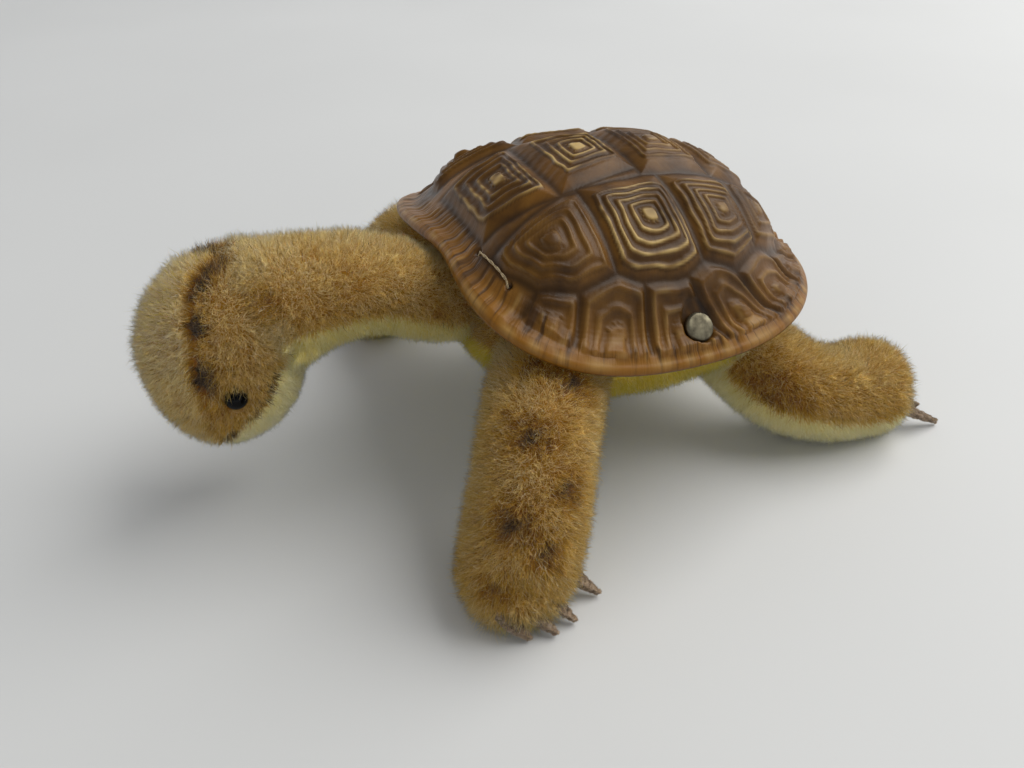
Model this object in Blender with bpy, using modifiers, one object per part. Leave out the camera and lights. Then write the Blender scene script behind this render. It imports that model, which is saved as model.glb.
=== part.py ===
"""A plush turtle under a moulded rubber shell. Metres, +Z up, head towards -Y, its left side at +X.

The shell's centre is the origin while the pieces are made. At the end everything moves along Y, so that
the middle of the finished toy stands over the origin.
"""

import math

import bmesh
import bpy
from mathutils import Matrix, Vector

# Clearances and cloth
SEAM_GAP = 0.0003
PANEL_GAP = 0.0004
STUFFING_GAP = 0.0009
SKIN_THICKNESS = 0.0012
CUT_OVERRUN = 0.004
SOLE_FLAT_DEPTH = 0.0005
BACK_CLEARANCE = 0.0007

# Shell
SHELL_HALF_WIDTH = 0.0370
SHELL_FRONT_REACH = 0.0353
SHELL_REAR_REACH = 0.0395
SHELL_TOP_HEIGHT = 0.0554
RIM_FRONT_HEIGHT = 0.0437
RIM_SIDE_HEIGHT = 0.0335
RIM_REAR_HEIGHT = 0.0326
SHELL_WALL = 0.0018
LIP_THICKNESS = 0.0022
SCUTE_RISE = 0.0014
MARGINAL_RISE = 0.0008
SCUTE_EDGE_LENGTH = 0.0050
FRONT_CORNER_POWER = 4.5
REAR_CORNER_POWER = 2.1
FRONT_LIFT_POWER = 2.1
# The front rim is drawn back and arched over the neck, and the right front corner hangs a little
NOTCH_ANGLE = math.radians(-82)
NOTCH_SPREAD = math.radians(18)
NOTCH_DEPTH_share = 0.042
NOTCH_ARCH_HEIGHT = 0.0015
DROOP_ANGLE = math.radians(-128)
DROOP_SPREAD = math.radians(19)
DROOP_DEPTH = 0.0026
REAR_DROP_POWER = 1.4
DOME_POWER = 2.2
DOME_ROUNDING = 0.7
BRIM_START_share = 0.84
BRIM_RISE_share = 0.12
LIP_START_share = 0.955
UNDERSIDE_ring_shares = (0.93, 0.84, 0.77, 0.62, 0.42, 0.20)
LIP_ARC_DEGREES = (65, 25, -20, -60, -100)

# Scute corners on one side, as shares of the half width and of the front or rear reach
SPINE_corner_shares = (
    (0.31, -0.85), (0.30, -0.41), (0.29, -0.34), (0.285, 0.01), (0.29, 0.09),
    (0.285, 0.38), (0.28, 0.42), (0.24, 0.67), (0.22, 0.835),
)
FLANK_corner_shares = (
    (0.54, -0.82), (0.70, -0.69), (0.745, -0.52), (0.70, -0.325), (0.74, -0.20), (0.735, 0.025),
    (0.70, 0.115), (0.715, 0.23), (0.655, 0.37), (0.61, 0.455), (0.57, 0.57), (0.445, 0.71),
)
# Each ring of a scute: its share of the outline, and its share of the rise
SCUTE_step_shares = ((0.88, 0.55), (0.66, 0.62), (0.58, 0.84), (0.36, 0.88), (0.28, 1.0))
MARGINAL_step_shares = ((0.80, 0.75), (0.45, 1.0))

# Button and its rivet
BUTTON_DIAMETER = 0.0050
BUTTON_THICKNESS = 0.0009
BUTTON_CROWN = 0.0005
BUTTON_PLACE_shares = (0.865, 0.02)
BUTTON_SINK = 0.0003
RIVET_DIAMETER = 0.0012
RIVET_HOLE_DIAMETER = 0.0019
RIVET_FLANGE_DIAMETER = 0.0032
RIVET_FLANGE_THICKNESS = 0.0005
RIVET_GRIP = 0.0030

# Shell stitch
THREAD_DIAMETER = 0.0007
THREAD_HOLE_DIAMETER = 0.0014
THREAD_TAIL = 0.0040
# The thread stands off the shell by this part of the dome's height, as a taller dome is steeper here
STITCH_LIFT = SHELL_TOP_HEIGHT / 34.625
STITCH_inner_shares = (0.31, -0.835)
STITCH_outer_shares = (0.60, -0.80)

# Torso
TORSO_FRONT_SETBACK = 0.0053
TORSO_REAR_SETBACK = 0.0060
TORSO_SIDE_SETBACK = 0.0100
TORSO_FRONT_REACH = SHELL_FRONT_REACH - TORSO_FRONT_SETBACK
TORSO_REAR_REACH = SHELL_REAR_REACH - TORSO_REAR_SETBACK
TORSO_HALF_WIDTH = SHELL_HALF_WIDTH - TORSO_SIDE_SETBACK
TORSO_SEAM_HEIGHT = 0.0260
TORSO_DEPTH_BELOW = 0.0140
TORSO_HEIGHT_ABOVE = 0.0265
TORSO_station_shares = (0.04, 0.14, 0.30, 0.50, 0.70, 0.86, 0.96)
TORSO_swell_shares = (0.42, 0.72, 0.94, 1.0, 0.95, 0.73, 0.42)
TORSO_FACES = 14

# Neck: reach and height of each point of its middle line
NECK_RADIUS = 0.0081
NECK_ROOT_REACH = 0.0220
NECK_ROOT_HEIGHT = 0.0310
NECK_RIM_CLEARANCE = 0.0004
NECK_BEND_REACH = 0.0460
NECK_BEND_HEIGHT = 0.0373
NECK_TOP_REACH = 0.0665
NECK_TOP_HEIGHT = 0.0375
NECK_swell_shares = (1.0, 0.95, 0.90, 0.87, 0.89, 0.97, 1.07, 1.12)
NECK_THROAT_HALF_ANGLE = math.radians(75)

# Head: a straight axis from the crown down to the muzzle
HEAD_CROWN_REACH = 0.0680
HEAD_CROWN_HEIGHT = 0.0464
HEAD_MUZZLE_REACH = 0.0745
HEAD_MUZZLE_HEIGHT = 0.0130
HEAD_HALF_WIDTH = 0.0106
HEAD_FRONT_DEPTH = 0.0125
HEAD_BACK_DEPTH = 0.0122
HEAD_station_shares = (0.03, 0.10, 0.22, 0.38, 0.55, 0.72, 0.86, 0.96)
HEAD_width_shares = (0.40, 0.68, 0.92, 1.0, 0.97, 0.85, 0.66, 0.38)
HEAD_front_shares = (0.32, 0.58, 0.84, 1.0, 1.0, 0.87, 0.66, 0.36)
HEAD_back_shares = (0.48, 0.74, 0.88, 0.95, 0.97, 0.90, 0.70, 0.40)
GUSSET_HALF_ANGLE = math.radians(60)
CHIN_HALF_ANGLE = math.radians(60)
HEAD_gusset_shares = (0.60, 0.70, 0.93, 1.06, 1.12, 1.16, 1.18, 1.18)
HEAD_chin_shares = (0.70, 0.72, 0.74, 0.80, 0.98, 1.13, 1.24, 1.28)

# Eye
EYE_DIAMETER = 0.0040
EYE_SHANK_DIAMETER = 0.0009
EYE_SHANK_LENGTH = 0.0042
EYE_STATION_share = 0.585
EYE_ANGLE = math.radians(87)
EYE_PROUD = 0.0004

# Legs: where each foot stands, and its middle line's root, shoulder and shank as shares of the foot's
# place and of the hip's height
FRONT_RADIUS = 0.0083
FRONT_FOOT_OUT = 0.0455
FRONT_FOOT_AHEAD = 0.0366
FRONT_HIP_HEIGHT = 0.0275
FRONT_line_shares = ((0.352, 0.44, 1.0), (0.681, 0.705, 0.982), (0.884, 0.866, 0.673))
FRONT_TOE_ANGLE = math.radians(-14)
HIND_RADIUS = 0.0081
HIND_FOOT_OUT = 0.0288
HIND_FOOT_BEHIND = 0.0486
HIND_HIP_HEIGHT = 0.0210
HIND_line_shares = ((0.555, 0.421, 0.95), (0.905, 0.585, 0.61), (1.003, 0.79, 0.43))
HIND_TOE_ANGLE = math.radians(72)
FRONT_side_shares = (0.96, 1.0, 1.02, 1.0, 1.0, 1.02, 1.03, 1.0, 0.74)
FRONT_height_shares = (0.96, 1.0, 1.02, 1.0, 0.98, 0.97, 0.97, 0.97, 0.74)
HIND_side_shares = (0.96, 1.0, 1.02, 1.0, 1.0, 1.03, 1.07, 1.11, 0.98)
HIND_height_shares = (0.96, 1.0, 1.02, 1.0, 1.0, 1.0, 1.02, 1.05, 0.92)
FOOT_end_shares = (0.50, 0.85)
LEG_SEAM_ANGLE = math.radians(22)

# Felt claws: each tip and root from the foot's middle, out and to the rear, as shares of the leg's radius
CLAW_WIDTH = 0.0029
CLAW_THICKNESS = 0.0011
CLAW_TIP_HEIGHT = 0.0008
CLAW_ROOT_HEIGHT = 0.0055
CLAW_outline_shares = ((0.0, 0.5), (0.40, 0.5), (0.75, 0.26), (1.0, 0.06))
FRONT_claw_shares = (
    ((0.554, 1.57), (0.096, 0.95)), ((0.964, 0.868), (0.446, 0.33)),
    ((1.096, 0.41), (0.542, -0.10)), ((1.012, -0.096), (0.602, -0.55)),
)
HIND_claw_shares = (
    ((1.05, 1.70), (0.68, 0.52)), ((0.35, 1.745), (0.15, 0.60)), ((-0.36, 1.65), (-0.30, 0.56)),
)

CORE_INSET = SKIN_THICKNESS + STUFFING_GAP
FORM_CLEARANCE = SEAM_GAP + PANEL_GAP


def clear_scene():
    for thing in list(bpy.data.objects):
        bpy.data.objects.remove(thing, do_unlink=True)


def new_collection(name):
    collection = bpy.data.collections.new(name)
    bpy.context.scene.collection.children.link(collection)
    return collection


def finish(name, colour, roughness, metallic=0.0):
    material = bpy.data.materials.new(name)
    material.use_nodes = True
    shader = material.node_tree.nodes["Principled BSDF"]
    shader.inputs["Base Color"].default_value = (*colour, 1.0)
    shader.inputs["Roughness"].default_value = roughness
    shader.inputs["Metallic"].default_value = metallic
    return material


def shell_rubber():
    return finish("shell_rubber", (0.13, 0.075, 0.035), 0.42)


def tan_mohair():
    return finish("tan_mohair", (0.52, 0.36, 0.17), 0.95)


def grey_tan_mohair():
    return finish("grey_tan_mohair", (0.55, 0.43, 0.26), 0.95)


def yellow_mohair():
    return finish("yellow_mohair", (0.66, 0.58, 0.24), 0.95)


def wood_wool():
    return finish("wood_wool", (0.62, 0.50, 0.32), 0.9)


def claw_felt():
    return finish("claw_felt", (0.20, 0.13, 0.07), 0.95)


def black_glass():
    return finish("black_glass", (0.008, 0.008, 0.010), 0.08)


def steel_wire():
    return finish("steel_wire", (0.45, 0.45, 0.44), 0.35, 1.0)


def aged_metal():
    return finish("aged_metal", (0.42, 0.41, 0.36), 0.42, 1.0)


def linen_thread():
    return finish("linen_thread", (0.60, 0.52, 0.38), 0.85)


def object_from(bm, name, collection, material=None):
    """A mesh object from this bmesh, with its faces pointing outwards."""
    bmesh.ops.recalc_face_normals(bm, faces=bm.faces)
    mesh = bpy.data.meshes.new(name)
    bm.to_mesh(mesh)
    bm.free()
    mesh.shade_smooth()
    mesh.set_sharp_from_angle(angle=math.radians(50))
    thing = bpy.data.objects.new(name, mesh)
    collection.objects.link(thing)
    if material:
        mesh.materials.append(material)
    return thing


def hide_cutter(thing):
    thing.hide_render = True
    thing.display_type = "WIRE"
    return thing


def cut(thing, *cutters):
    for cutter in cutters:
        modifier = thing.modifiers.new("cut_" + cutter.name, "BOOLEAN")
        modifier.operation = "DIFFERENCE"
        modifier.object = cutter


def near_angle(angle, middle, spread):
    """1 at the middle angle, falling to 0 over this spread."""
    away = (angle - middle + math.pi) % (2 * math.pi) - math.pi
    return math.exp(-((away / spread) ** 2))


def rim_radius(angle):
    """Plan distance from the shell's centre to its rim, at this angle from +X."""
    across, along = math.cos(angle), math.sin(angle)
    reach, power = SHELL_REAR_REACH, REAR_CORNER_POWER
    if along < 0:
        reach, power = SHELL_FRONT_REACH, FRONT_CORNER_POWER
    oval = (abs(across / SHELL_HALF_WIDTH) ** power + abs(along / reach) ** power) ** (-1 / power)
    return oval * (1 - NOTCH_DEPTH_share * near_angle(angle, NOTCH_ANGLE, NOTCH_SPREAD))


def rim_height(angle):
    along = rim_radius(angle) * math.sin(angle)
    if along < 0:
        lift = (-along / SHELL_FRONT_REACH) ** FRONT_LIFT_POWER
        arch = NOTCH_ARCH_HEIGHT * near_angle(angle, NOTCH_ANGLE, NOTCH_SPREAD)
        droop = DROOP_DEPTH * near_angle(angle, DROOP_ANGLE, DROOP_SPREAD)
        return RIM_SIDE_HEIGHT + (RIM_FRONT_HEIGHT - RIM_SIDE_HEIGHT) * lift + arch - droop
    drop = (along / SHELL_REAR_REACH) ** REAR_DROP_POWER
    return RIM_SIDE_HEIGHT + (RIM_REAR_HEIGHT - RIM_SIDE_HEIGHT) * drop


def dome_share(share):
    """How far up from the rim to the top the shell is, at this share of the way out to the rim."""
    if share > BRIM_START_share:
        return BRIM_RISE_share * max(0.0, (1 - share) / (1 - BRIM_START_share))
    rounding = (1 - (share / BRIM_START_share) ** DOME_POWER) ** DOME_ROUNDING
    return BRIM_RISE_share + (1 - BRIM_RISE_share) * rounding


def dome_height(x, y):
    angle = math.atan2(y, x)
    rim = rim_height(angle)
    return rim + (SHELL_TOP_HEIGHT - rim) * dome_share(min(1.0, math.hypot(x, y) / rim_radius(angle)))


def shell_point(x, y, rise=0.0):
    return Vector((x, y, dome_height(x, y) + rise))


def shell_normal(x, y):
    step = SHELL_WALL
    slope_x = (dome_height(x + step, y) - dome_height(x - step, y)) / (2 * step)
    slope_y = (dome_height(x, y + step) - dome_height(x, y - step)) / (2 * step)
    return Vector((-slope_x, -slope_y, 1)).normalized()


def on_shell(share, side=1):
    """A plan point from its share of the half width and of the front or rear reach."""
    across, along = share
    return side * across * SHELL_HALF_WIDTH, along * (SHELL_FRONT_REACH if along < 0 else SHELL_REAR_REACH)


def lip_point(point):
    """The point where the lip starts, straight out from this plan point."""
    angle = math.atan2(point[1], point[0])
    reach = LIP_START_share * rim_radius(angle)
    return reach * math.cos(angle), reach * math.sin(angle)


def on_lip(point):
    angle = math.atan2(point[1], point[0])
    return abs(math.hypot(*point) / rim_radius(angle) - LIP_START_share) < 1e-6


def edge_points(start, end):
    """Plan points from start up to, not including, end: along the lip where both lie on it."""
    count = max(1, round(math.dist(start, end) / SCUTE_EDGE_LENGTH))
    if on_lip(start) and on_lip(end):
        first, last = math.atan2(start[1], start[0]), math.atan2(end[1], end[0])
        turn = (last - first + math.pi) % (2 * math.pi) - math.pi
        angles = [first + turn * i / count for i in range(count)]
        return [lip_point((math.cos(a), math.sin(a))) for a in angles]
    return [
        (start[0] + (end[0] - start[0]) * i / count, start[1] + (end[1] - start[1]) * i / count)
        for i in range(count)
    ]


def scute_plans():
    """Each scute as its corners in plan, its rise and its rings of relief."""
    left = [on_shell(share) for share in SPINE_corner_shares]
    right = [on_shell(share, -1) for share in SPINE_corner_shares]
    plans = []
    for first, last in ((0, 1), (1, 3), (3, 5), (5, 7)):
        plans.append((left[first:last + 1] + right[first:last + 1][::-1], SCUTE_RISE, SCUTE_step_shares))
    for side, spine in ((1, left), (-1, right)):
        flank = [on_shell(share, side) for share in FLANK_corner_shares]
        plans += [
            ([spine[0]] + flank[0:4] + spine[1:3][::-1], SCUTE_RISE, SCUTE_step_shares),
            ([spine[2]] + flank[3:7] + spine[3:5][::-1], SCUTE_RISE, SCUTE_step_shares),
            ([spine[4]] + flank[6:10] + spine[5:7][::-1], SCUTE_RISE, SCUTE_step_shares),
            ([spine[6]] + flank[9:12] + [spine[7]], SCUTE_RISE, SCUTE_step_shares),
        ]
        brim = [spine[0]] + flank[0:2]
        for inner in (brim[0:2], brim[1:3]):
            plans.append((inner + [lip_point(inner[1]), lip_point(inner[0])], 0.0, ()))
        for first, last in ((1, 2), (2, 4), (4, 5), (5, 7), (7, 8), (8, 10), (10, 11)):
            inner = flank[first:last + 1]
            outer = [lip_point(inner[-1]), lip_point(inner[0])]
            plans.append((inner + outer, MARGINAL_RISE, MARGINAL_step_shares))
        inner = [flank[11], spine[8]]
        outer = [lip_point(spine[8]), lip_point(flank[11])]
        plans.append((inner + outer, MARGINAL_RISE, MARGINAL_step_shares))
        if side == 1:
            tail = [spine[7], flank[11], spine[8]]
    mirrored = [(-x, y) for x, y in reversed(tail)]
    plans.append((tail + mirrored, SCUTE_RISE, SCUTE_step_shares))
    for a, b in ((right[0], left[0]), (left[8], right[8])):
        plans.append(([a, b, lip_point(b), lip_point(a)], 0.0, ()))
    return plans


def add_scute(bm, corners, rise, steps):
    outline = []
    for start, end in zip(corners, corners[1:] + corners[:1]):
        outline += edge_points(start, end)
    middle = (sum(x for x, _ in outline) / len(outline), sum(y for _, y in outline) / len(outline))
    rings = [[bm.verts.new(shell_point(x, y)) for x, y in outline]]
    for share, height in steps:
        ring = []
        for x, y in outline:
            inner = (middle[0] + (x - middle[0]) * share, middle[1] + (y - middle[1]) * share)
            ring.append(bm.verts.new(shell_point(*inner, rise * height)))
        rings.append(ring)
    for outer, inner in zip(rings, rings[1:]):
        for i in range(len(outline)):
            j = (i + 1) % len(outline)
            bm.faces.new((outer[i], outer[j], inner[j], inner[i]))
    centre = bm.verts.new(shell_point(*middle, rise))
    for i in range(len(outline)):
        bm.faces.new((rings[-1][i], rings[-1][(i + 1) % len(outline)], centre))


def lip_angles(plans):
    """The angles at which the scutes meet the lip, in order."""
    angles = set()
    for corners, _, _ in plans:
        for start, end in zip(corners, corners[1:] + corners[:1]):
            if on_lip(start) and on_lip(end):
                angles |= {round(math.atan2(y, x), 6) for x, y in edge_points(start, end) + [end]}
    return sorted(angles)


def underside_points(angle, gap=0.0):
    """Points from the rim's edge in under the shell at this angle, this gap clear of it."""
    rim, height = rim_radius(angle), rim_height(angle)
    radius = LIP_THICKNESS / 2
    points = []
    for degrees in LIP_ARC_DEGREES:
        arc = math.radians(degrees)
        out, rise = (radius + gap) * math.cos(arc), (radius + gap) * math.sin(arc)
        points.append((rim - radius + out, height - radius + rise))
    for share in UNDERSIDE_ring_shares:
        inner = height + (SHELL_TOP_HEIGHT - height) * dome_share(share)
        points.append(((rim - SHELL_WALL - gap) * share, inner - SHELL_WALL - gap))
    return [Vector((out * math.cos(angle), out * math.sin(angle), z)) for out, z in points]


def add_turned_rings(bm, columns, centre):
    """Joins columns of points, one for each angle, and closes them on a centre point."""
    columns = [[bm.verts.new(point) for point in column] for column in columns]
    middle = bm.verts.new(centre)
    for i, column in enumerate(columns):
        following = columns[(i + 1) % len(columns)]
        for k in range(len(column) - 1):
            bm.faces.new((column[k], column[k + 1], following[k + 1], following[k]))
        bm.faces.new((column[-1], middle, following[-1]))


def make_carapace(parts, cutters):
    """The rubber shell: relief on top, a rounded lip, and hollow underneath."""
    plans = scute_plans()
    bm = bmesh.new()
    for corners, rise, steps in plans:
        add_scute(bm, corners, rise, steps)
    columns = []
    for angle in lip_angles(plans):
        start = lip_point((math.cos(angle), math.sin(angle)))
        columns.append([shell_point(*start)] + underside_points(angle))
    add_turned_rings(bm, columns, Vector((0, 0, SHELL_TOP_HEIGHT - SHELL_WALL)))
    bmesh.ops.remove_doubles(bm, verts=bm.verts, dist=1e-6)
    shell = object_from(bm, "carapace", parts, shell_rubber())
    cut(shell, *cutters)
    return shell


def make_shell_clearance(cutters):
    """All the space from just under the shell upwards, which the plush keeps out of."""
    bm = bmesh.new()
    columns = []
    count = 48
    for i in range(count):
        angle = 2 * math.pi * i / count
        under = underside_points(angle, SEAM_GAP)[2:]
        edge = under[0]
        columns.append([Vector((edge.x, edge.y, SHELL_TOP_HEIGHT + CUT_OVERRUN))] + under)
    add_turned_rings(bm, columns, Vector((0, 0, SHELL_TOP_HEIGHT - SHELL_WALL - SEAM_GAP)))
    top = [edge for edge in bm.edges if edge.is_boundary]
    bmesh.ops.contextual_create(bm, geom=top)
    return hide_cutter(object_from(bm, "shell_clearance", cutters))


def make_turned(name, profile, collection, material=None, steps=16):
    """A turned piece: a profile of (radius, height) points, listed top to bottom, with a Screw modifier."""
    bm = bmesh.new()
    verts = [bm.verts.new((radius, 0, height)) for radius, height in profile]
    for a, b in zip(verts, verts[1:]):
        bm.edges.new((a, b))
    mesh = bpy.data.meshes.new(name)
    bm.to_mesh(mesh)
    bm.free()
    thing = bpy.data.objects.new(name, mesh)
    collection.objects.link(thing)
    screw = thing.modifiers.new("turned", "SCREW")
    screw.axis = "Z"
    screw.steps = screw.render_steps = steps
    screw.use_merge_vertices = True
    screw.merge_threshold = 1e-5
    if material:
        mesh.materials.append(material)
    return thing


def aim(thing, place, direction):
    """Puts the object's origin here, with its +Z along this direction."""
    turn = direction.to_track_quat("Z", "Y").to_matrix().to_4x4()
    thing.matrix_world = Matrix.Translation(place) @ turn


def button_seat():
    x, y = on_shell(BUTTON_PLACE_shares)
    normal = shell_normal(x, y)
    return shell_point(x, y) + normal * (MARGINAL_RISE - BUTTON_SINK), normal


def make_button_cutter(cutters):
    """The shallow seat that the button lies in, and the rivet's hole under it."""
    place, normal = button_seat()
    seat, hole = BUTTON_DIAMETER / 2 + SEAM_GAP, RIVET_HOLE_DIAMETER / 2
    top, bottom = CUT_OVERRUN, -(RIVET_GRIP + CUT_OVERRUN)
    profile = ((0, top), (seat, top), (seat, 0), (hole, 0), (hole, bottom), (0, bottom))
    cutter = make_turned("button_cutter", profile, cutters)
    aim(cutter, place, normal)
    return hide_cutter(cutter)


def make_button(parts):
    place, normal = button_seat()
    metal = aged_metal()
    radius = BUTTON_DIAMETER / 2
    top = SEAM_GAP + BUTTON_THICKNESS + BUTTON_CROWN
    profile = (
        (0, top), (radius * 0.55, top - BUTTON_CROWN * 0.4), (radius * 0.88, top - BUTTON_CROWN),
        (radius, SEAM_GAP + BUTTON_THICKNESS * 0.5), (radius, SEAM_GAP), (0, SEAM_GAP),
    )
    cap = make_turned("button_cap", profile, parts, metal, steps=20)
    stem, flange = RIVET_DIAMETER / 2, RIVET_FLANGE_DIAMETER / 2
    under = -(RIVET_GRIP + SEAM_GAP)
    foot = under - RIVET_FLANGE_THICKNESS
    rivet_profile = ((0, 0), (stem, 0), (stem, under), (flange, under), (flange, foot), (0, foot))
    rivet = make_turned("button_rivet", rivet_profile, parts, metal, steps=12)
    for piece in (cap, rivet):
        aim(piece, place, normal)


def stitch_ends():
    return [on_shell(share) for share in (STITCH_inner_shares, STITCH_outer_shares)]


def make_tube(name, points, radius, collection, material, sides=1):
    """A round tube through these points, as a mesh with closed ends."""
    curve = bpy.data.curves.new(name, "CURVE")
    curve.dimensions = "3D"
    curve.bevel_depth = radius
    curve.bevel_resolution = sides
    curve.use_fill_caps = True
    spline = curve.splines.new("POLY")
    spline.points.add(len(points) - 1)
    for target, point in zip(spline.points, points):
        target.co = (*point, 1)
    thing = bpy.data.objects.new(name, curve)
    collection.objects.link(thing)
    curve.materials.append(material)
    return thing


def make_stitch_holes(cutters):
    """Both holes of the stitch, through the shell and on into the plush."""
    bm = bmesh.new()
    for x, y in stitch_ends():
        depth = SHELL_WALL + THREAD_TAIL + CUT_OVERRUN
        middle = shell_point(x, y) - Vector((0, 0, depth / 2 - CUT_OVERRUN))
        bmesh.ops.create_cone(
            bm, cap_ends=True, segments=8,
            radius1=THREAD_HOLE_DIAMETER / 2, radius2=THREAD_HOLE_DIAMETER / 2,
            depth=depth + CUT_OVERRUN, matrix=Matrix.Translation(middle),
        )
    return hide_cutter(object_from(bm, "stitch_holes", cutters))


def make_stitch(parts):
    """A thread down one hole, over the shell and down the other, with a tail in the plush at each end."""
    (x1, y1), (x2, y2) = stitch_ends()
    tail = SHELL_WALL + THREAD_TAIL
    count = 6
    points = [shell_point(x1, y1, -tail)]
    for i in range(count + 1):
        share = i / count
        x, y = x1 + (x2 - x1) * share, y1 + (y2 - y1) * share
        points.append(shell_point(x, y, STITCH_LIFT))
    points.append(shell_point(x2, y2, -tail))
    return make_tube("shell_stitch", points, THREAD_DIAMETER / 2, parts, linen_thread())


def smooth_line(points, count):
    """Points on a smooth curve through these, evenly spread over its spans, and each one's share."""
    points = [Vector(point) for point in points]
    ends = [2 * points[0] - points[1]] + points + [2 * points[-1] - points[-2]]
    spans = len(points) - 1
    line = []
    for i in range(count + 1):
        where = min(i * spans / count, spans - 1e-9)
        k, t = int(where), where - int(where)
        p0, p1, p2, p3 = ends[k:k + 4]
        line.append(
            0.5 * (2 * p1 + (p2 - p0) * t + (2 * p0 - 5 * p1 + 4 * p2 - p3) * t * t
                   + (3 * p1 - p0 - 3 * p2 + p3) * t ** 3)
        )
    return line


class Form:
    """A stuffed form: stations on a middle line, each with a reach to the side, up and down."""

    def __init__(self, line, side, up, down, poles, up_hint, under_shell=False, seams=None):
        self.line, self.side, self.up, self.down = line, side, up, down
        self.poles, self.up_hint, self.under_shell = poles, up_hint, under_shell
        self.seams = seams

    def turned(self, i, angle):
        """This angle moved along with the seams, where they run closer or wider at this station."""
        if self.seams is None:
            return angle
        upper, lower, upper_shares, lower_shares = self.seams
        ahead = math.pi / 2
        away = math.remainder(angle - ahead, 2 * math.pi)
        here = (0, upper, math.pi - lower, math.pi)
        there = (0, upper * upper_shares[i], math.pi - lower * lower_shares[i], math.pi)
        k = max(n for n in range(3) if n == 0 or abs(away) >= here[n])
        t = (abs(away) - here[k]) / (here[k + 1] - here[k])
        return ahead + math.copysign(there[k] + (there[k + 1] - there[k]) * t, away)

    def along(self, i):
        line = [self.poles[0]] + self.line + [self.poles[1]]
        return (line[i + 2] - line[i]).normalized()

    def direction(self, i, angle):
        """The way out from station i: angle 0 is to the side, a quarter turn is up."""
        along = self.along(i)
        up = (self.up_hint - along * self.up_hint.dot(along)).normalized()
        return up.cross(along).normalized() * math.cos(angle) + up * math.sin(angle)

    def place(self, point):
        return keep_under_shell(point) if self.under_shell else point

    def surface(self, i, angle):
        if i < 0:
            return self.place(self.poles[0])
        if i >= len(self.line):
            return self.place(self.poles[1])
        angle = self.turned(i, angle)
        along_up = math.sin(angle)
        reach = self.up[i] if along_up >= 0 else self.down[i]
        sideways, upwards = self.direction(i, 0), self.direction(i, math.pi / 2)
        across = sideways * (self.side[i] * math.cos(angle))
        return self.place(self.line[i] + across + upwards * (reach * along_up))

    def outwards(self, i, angle):
        """The surface's normal at this station and angle."""
        turn = math.radians(8)
        round_it = self.surface(i, angle + turn) - self.surface(i, angle - turn)
        along_it = self.surface(i + 1, angle) - self.surface(i - 1, angle)
        normal = round_it.cross(along_it).normalized()
        return normal if normal.dot(self.direction(i, self.turned(i, angle))) > 0 else -normal

    def lowest(self):
        turns = [math.radians(degrees) for degrees in range(180, 360, 10)]
        return min(self.surface(i, angle).z for i in range(len(self.line)) for angle in turns)

    def layer(self, depth, angles, shift=0.0, seams=False):
        """Rows of points this deep inside the surface, between the two poles' points."""
        middle = (angles[0] + angles[-1]) / 2
        rows = []
        for i in range(len(self.line)):
            row = []
            for k, angle in enumerate(angles):
                inwards = -self.outwards(i, angle)
                if seams and k in (0, len(angles) - 1):
                    across = self.direction(i, self.turned(i, angle) + math.pi / 2)
                    inwards = (inwards - across * inwards.dot(across)).normalized()
                towards = self.direction(i, self.turned(i, middle))
                row.append(self.surface(i, angle) + inwards * depth + towards * shift)
            rows.append(row)
        ends = []
        for pole, i, way in ((self.poles[0], 0, 1), (self.poles[1], len(self.line) - 1, -1)):
            inwards = (self.line[i] - pole).normalized()
            towards = self.direction(i, self.turned(i, middle))
            ends.append(self.place(pole) + inwards * depth + towards * shift)
        return ends, rows


def keep_under_shell(point):
    """Lowers a point that would stand in the shell to just under it."""
    angle = math.atan2(point.y, point.x)
    out = math.hypot(point.x, point.y)
    rim = rim_radius(angle)
    if out >= rim - LIP_THICKNESS:
        return point
    height = rim_height(angle)
    share = min(1.0, out / (rim - SHELL_WALL - BACK_CLEARANCE))
    limit = height + (SHELL_TOP_HEIGHT - height) * dome_share(share) - SHELL_WALL - BACK_CLEARANCE
    return Vector((point.x, point.y, min(point.z, limit)))


def add_patch(bm, ends, rows, closed):
    """Faces over rows of points, closed onto a point at each end."""
    rows = [[bm.verts.new(point) for point in row] for row in rows]
    tips = [bm.verts.new(point) for point in ends]
    count = len(rows[0])
    steps = range(count if closed else count - 1)
    for first, second in zip(rows, rows[1:]):
        for k in steps:
            j = (k + 1) % count
            bm.faces.new((first[k], first[j], second[j], second[k]))
    for row, tip in ((rows[0], tips[0]), (rows[-1], tips[1])):
        for k in steps:
            bm.faces.new((row[k], row[(k + 1) % count], tip))
    return [tips[0]] + [row[0] for row in rows] + [tips[1]] + [row[-1] for row in reversed(rows)]


def make_panel(name, form, start, end, count, parts, material):
    """A cloth panel sewn from seam to seam, drawn back from each seam by half the gap."""
    angles = [start + (end - start) * k / count for k in range(count + 1)]
    shift = PANEL_GAP / 2 / math.sin((end - start) / 2)
    bm = bmesh.new()
    borders = [
        add_patch(bm, *form.layer(depth, angles, shift, seams=True), closed=False)
        for depth in (0.0, SKIN_THICKNESS)
    ]
    count = len(borders[0])
    for k in range(count):
        j = (k + 1) % count
        bm.faces.new((borders[0][k], borders[0][j], borders[1][j], borders[1][k]))
    return object_from(bm, name, parts, material)


def make_solid(name, form, depth, angles, collection, material=None):
    """The whole closed form, this deep inside the cloth's outer face."""
    bm = bmesh.new()
    add_patch(bm, *form.layer(depth, angles), closed=True)
    return object_from(bm, name, collection, material)


def angles_between(*seams_and_counts):
    """The angles round a form at which its panels have their points: seam, count, seam, count and so on."""
    angles = []
    for start, count, end in seams_and_counts:
        angles += [start + (end - start) * k / count for k in range(count)]
    return angles


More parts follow.
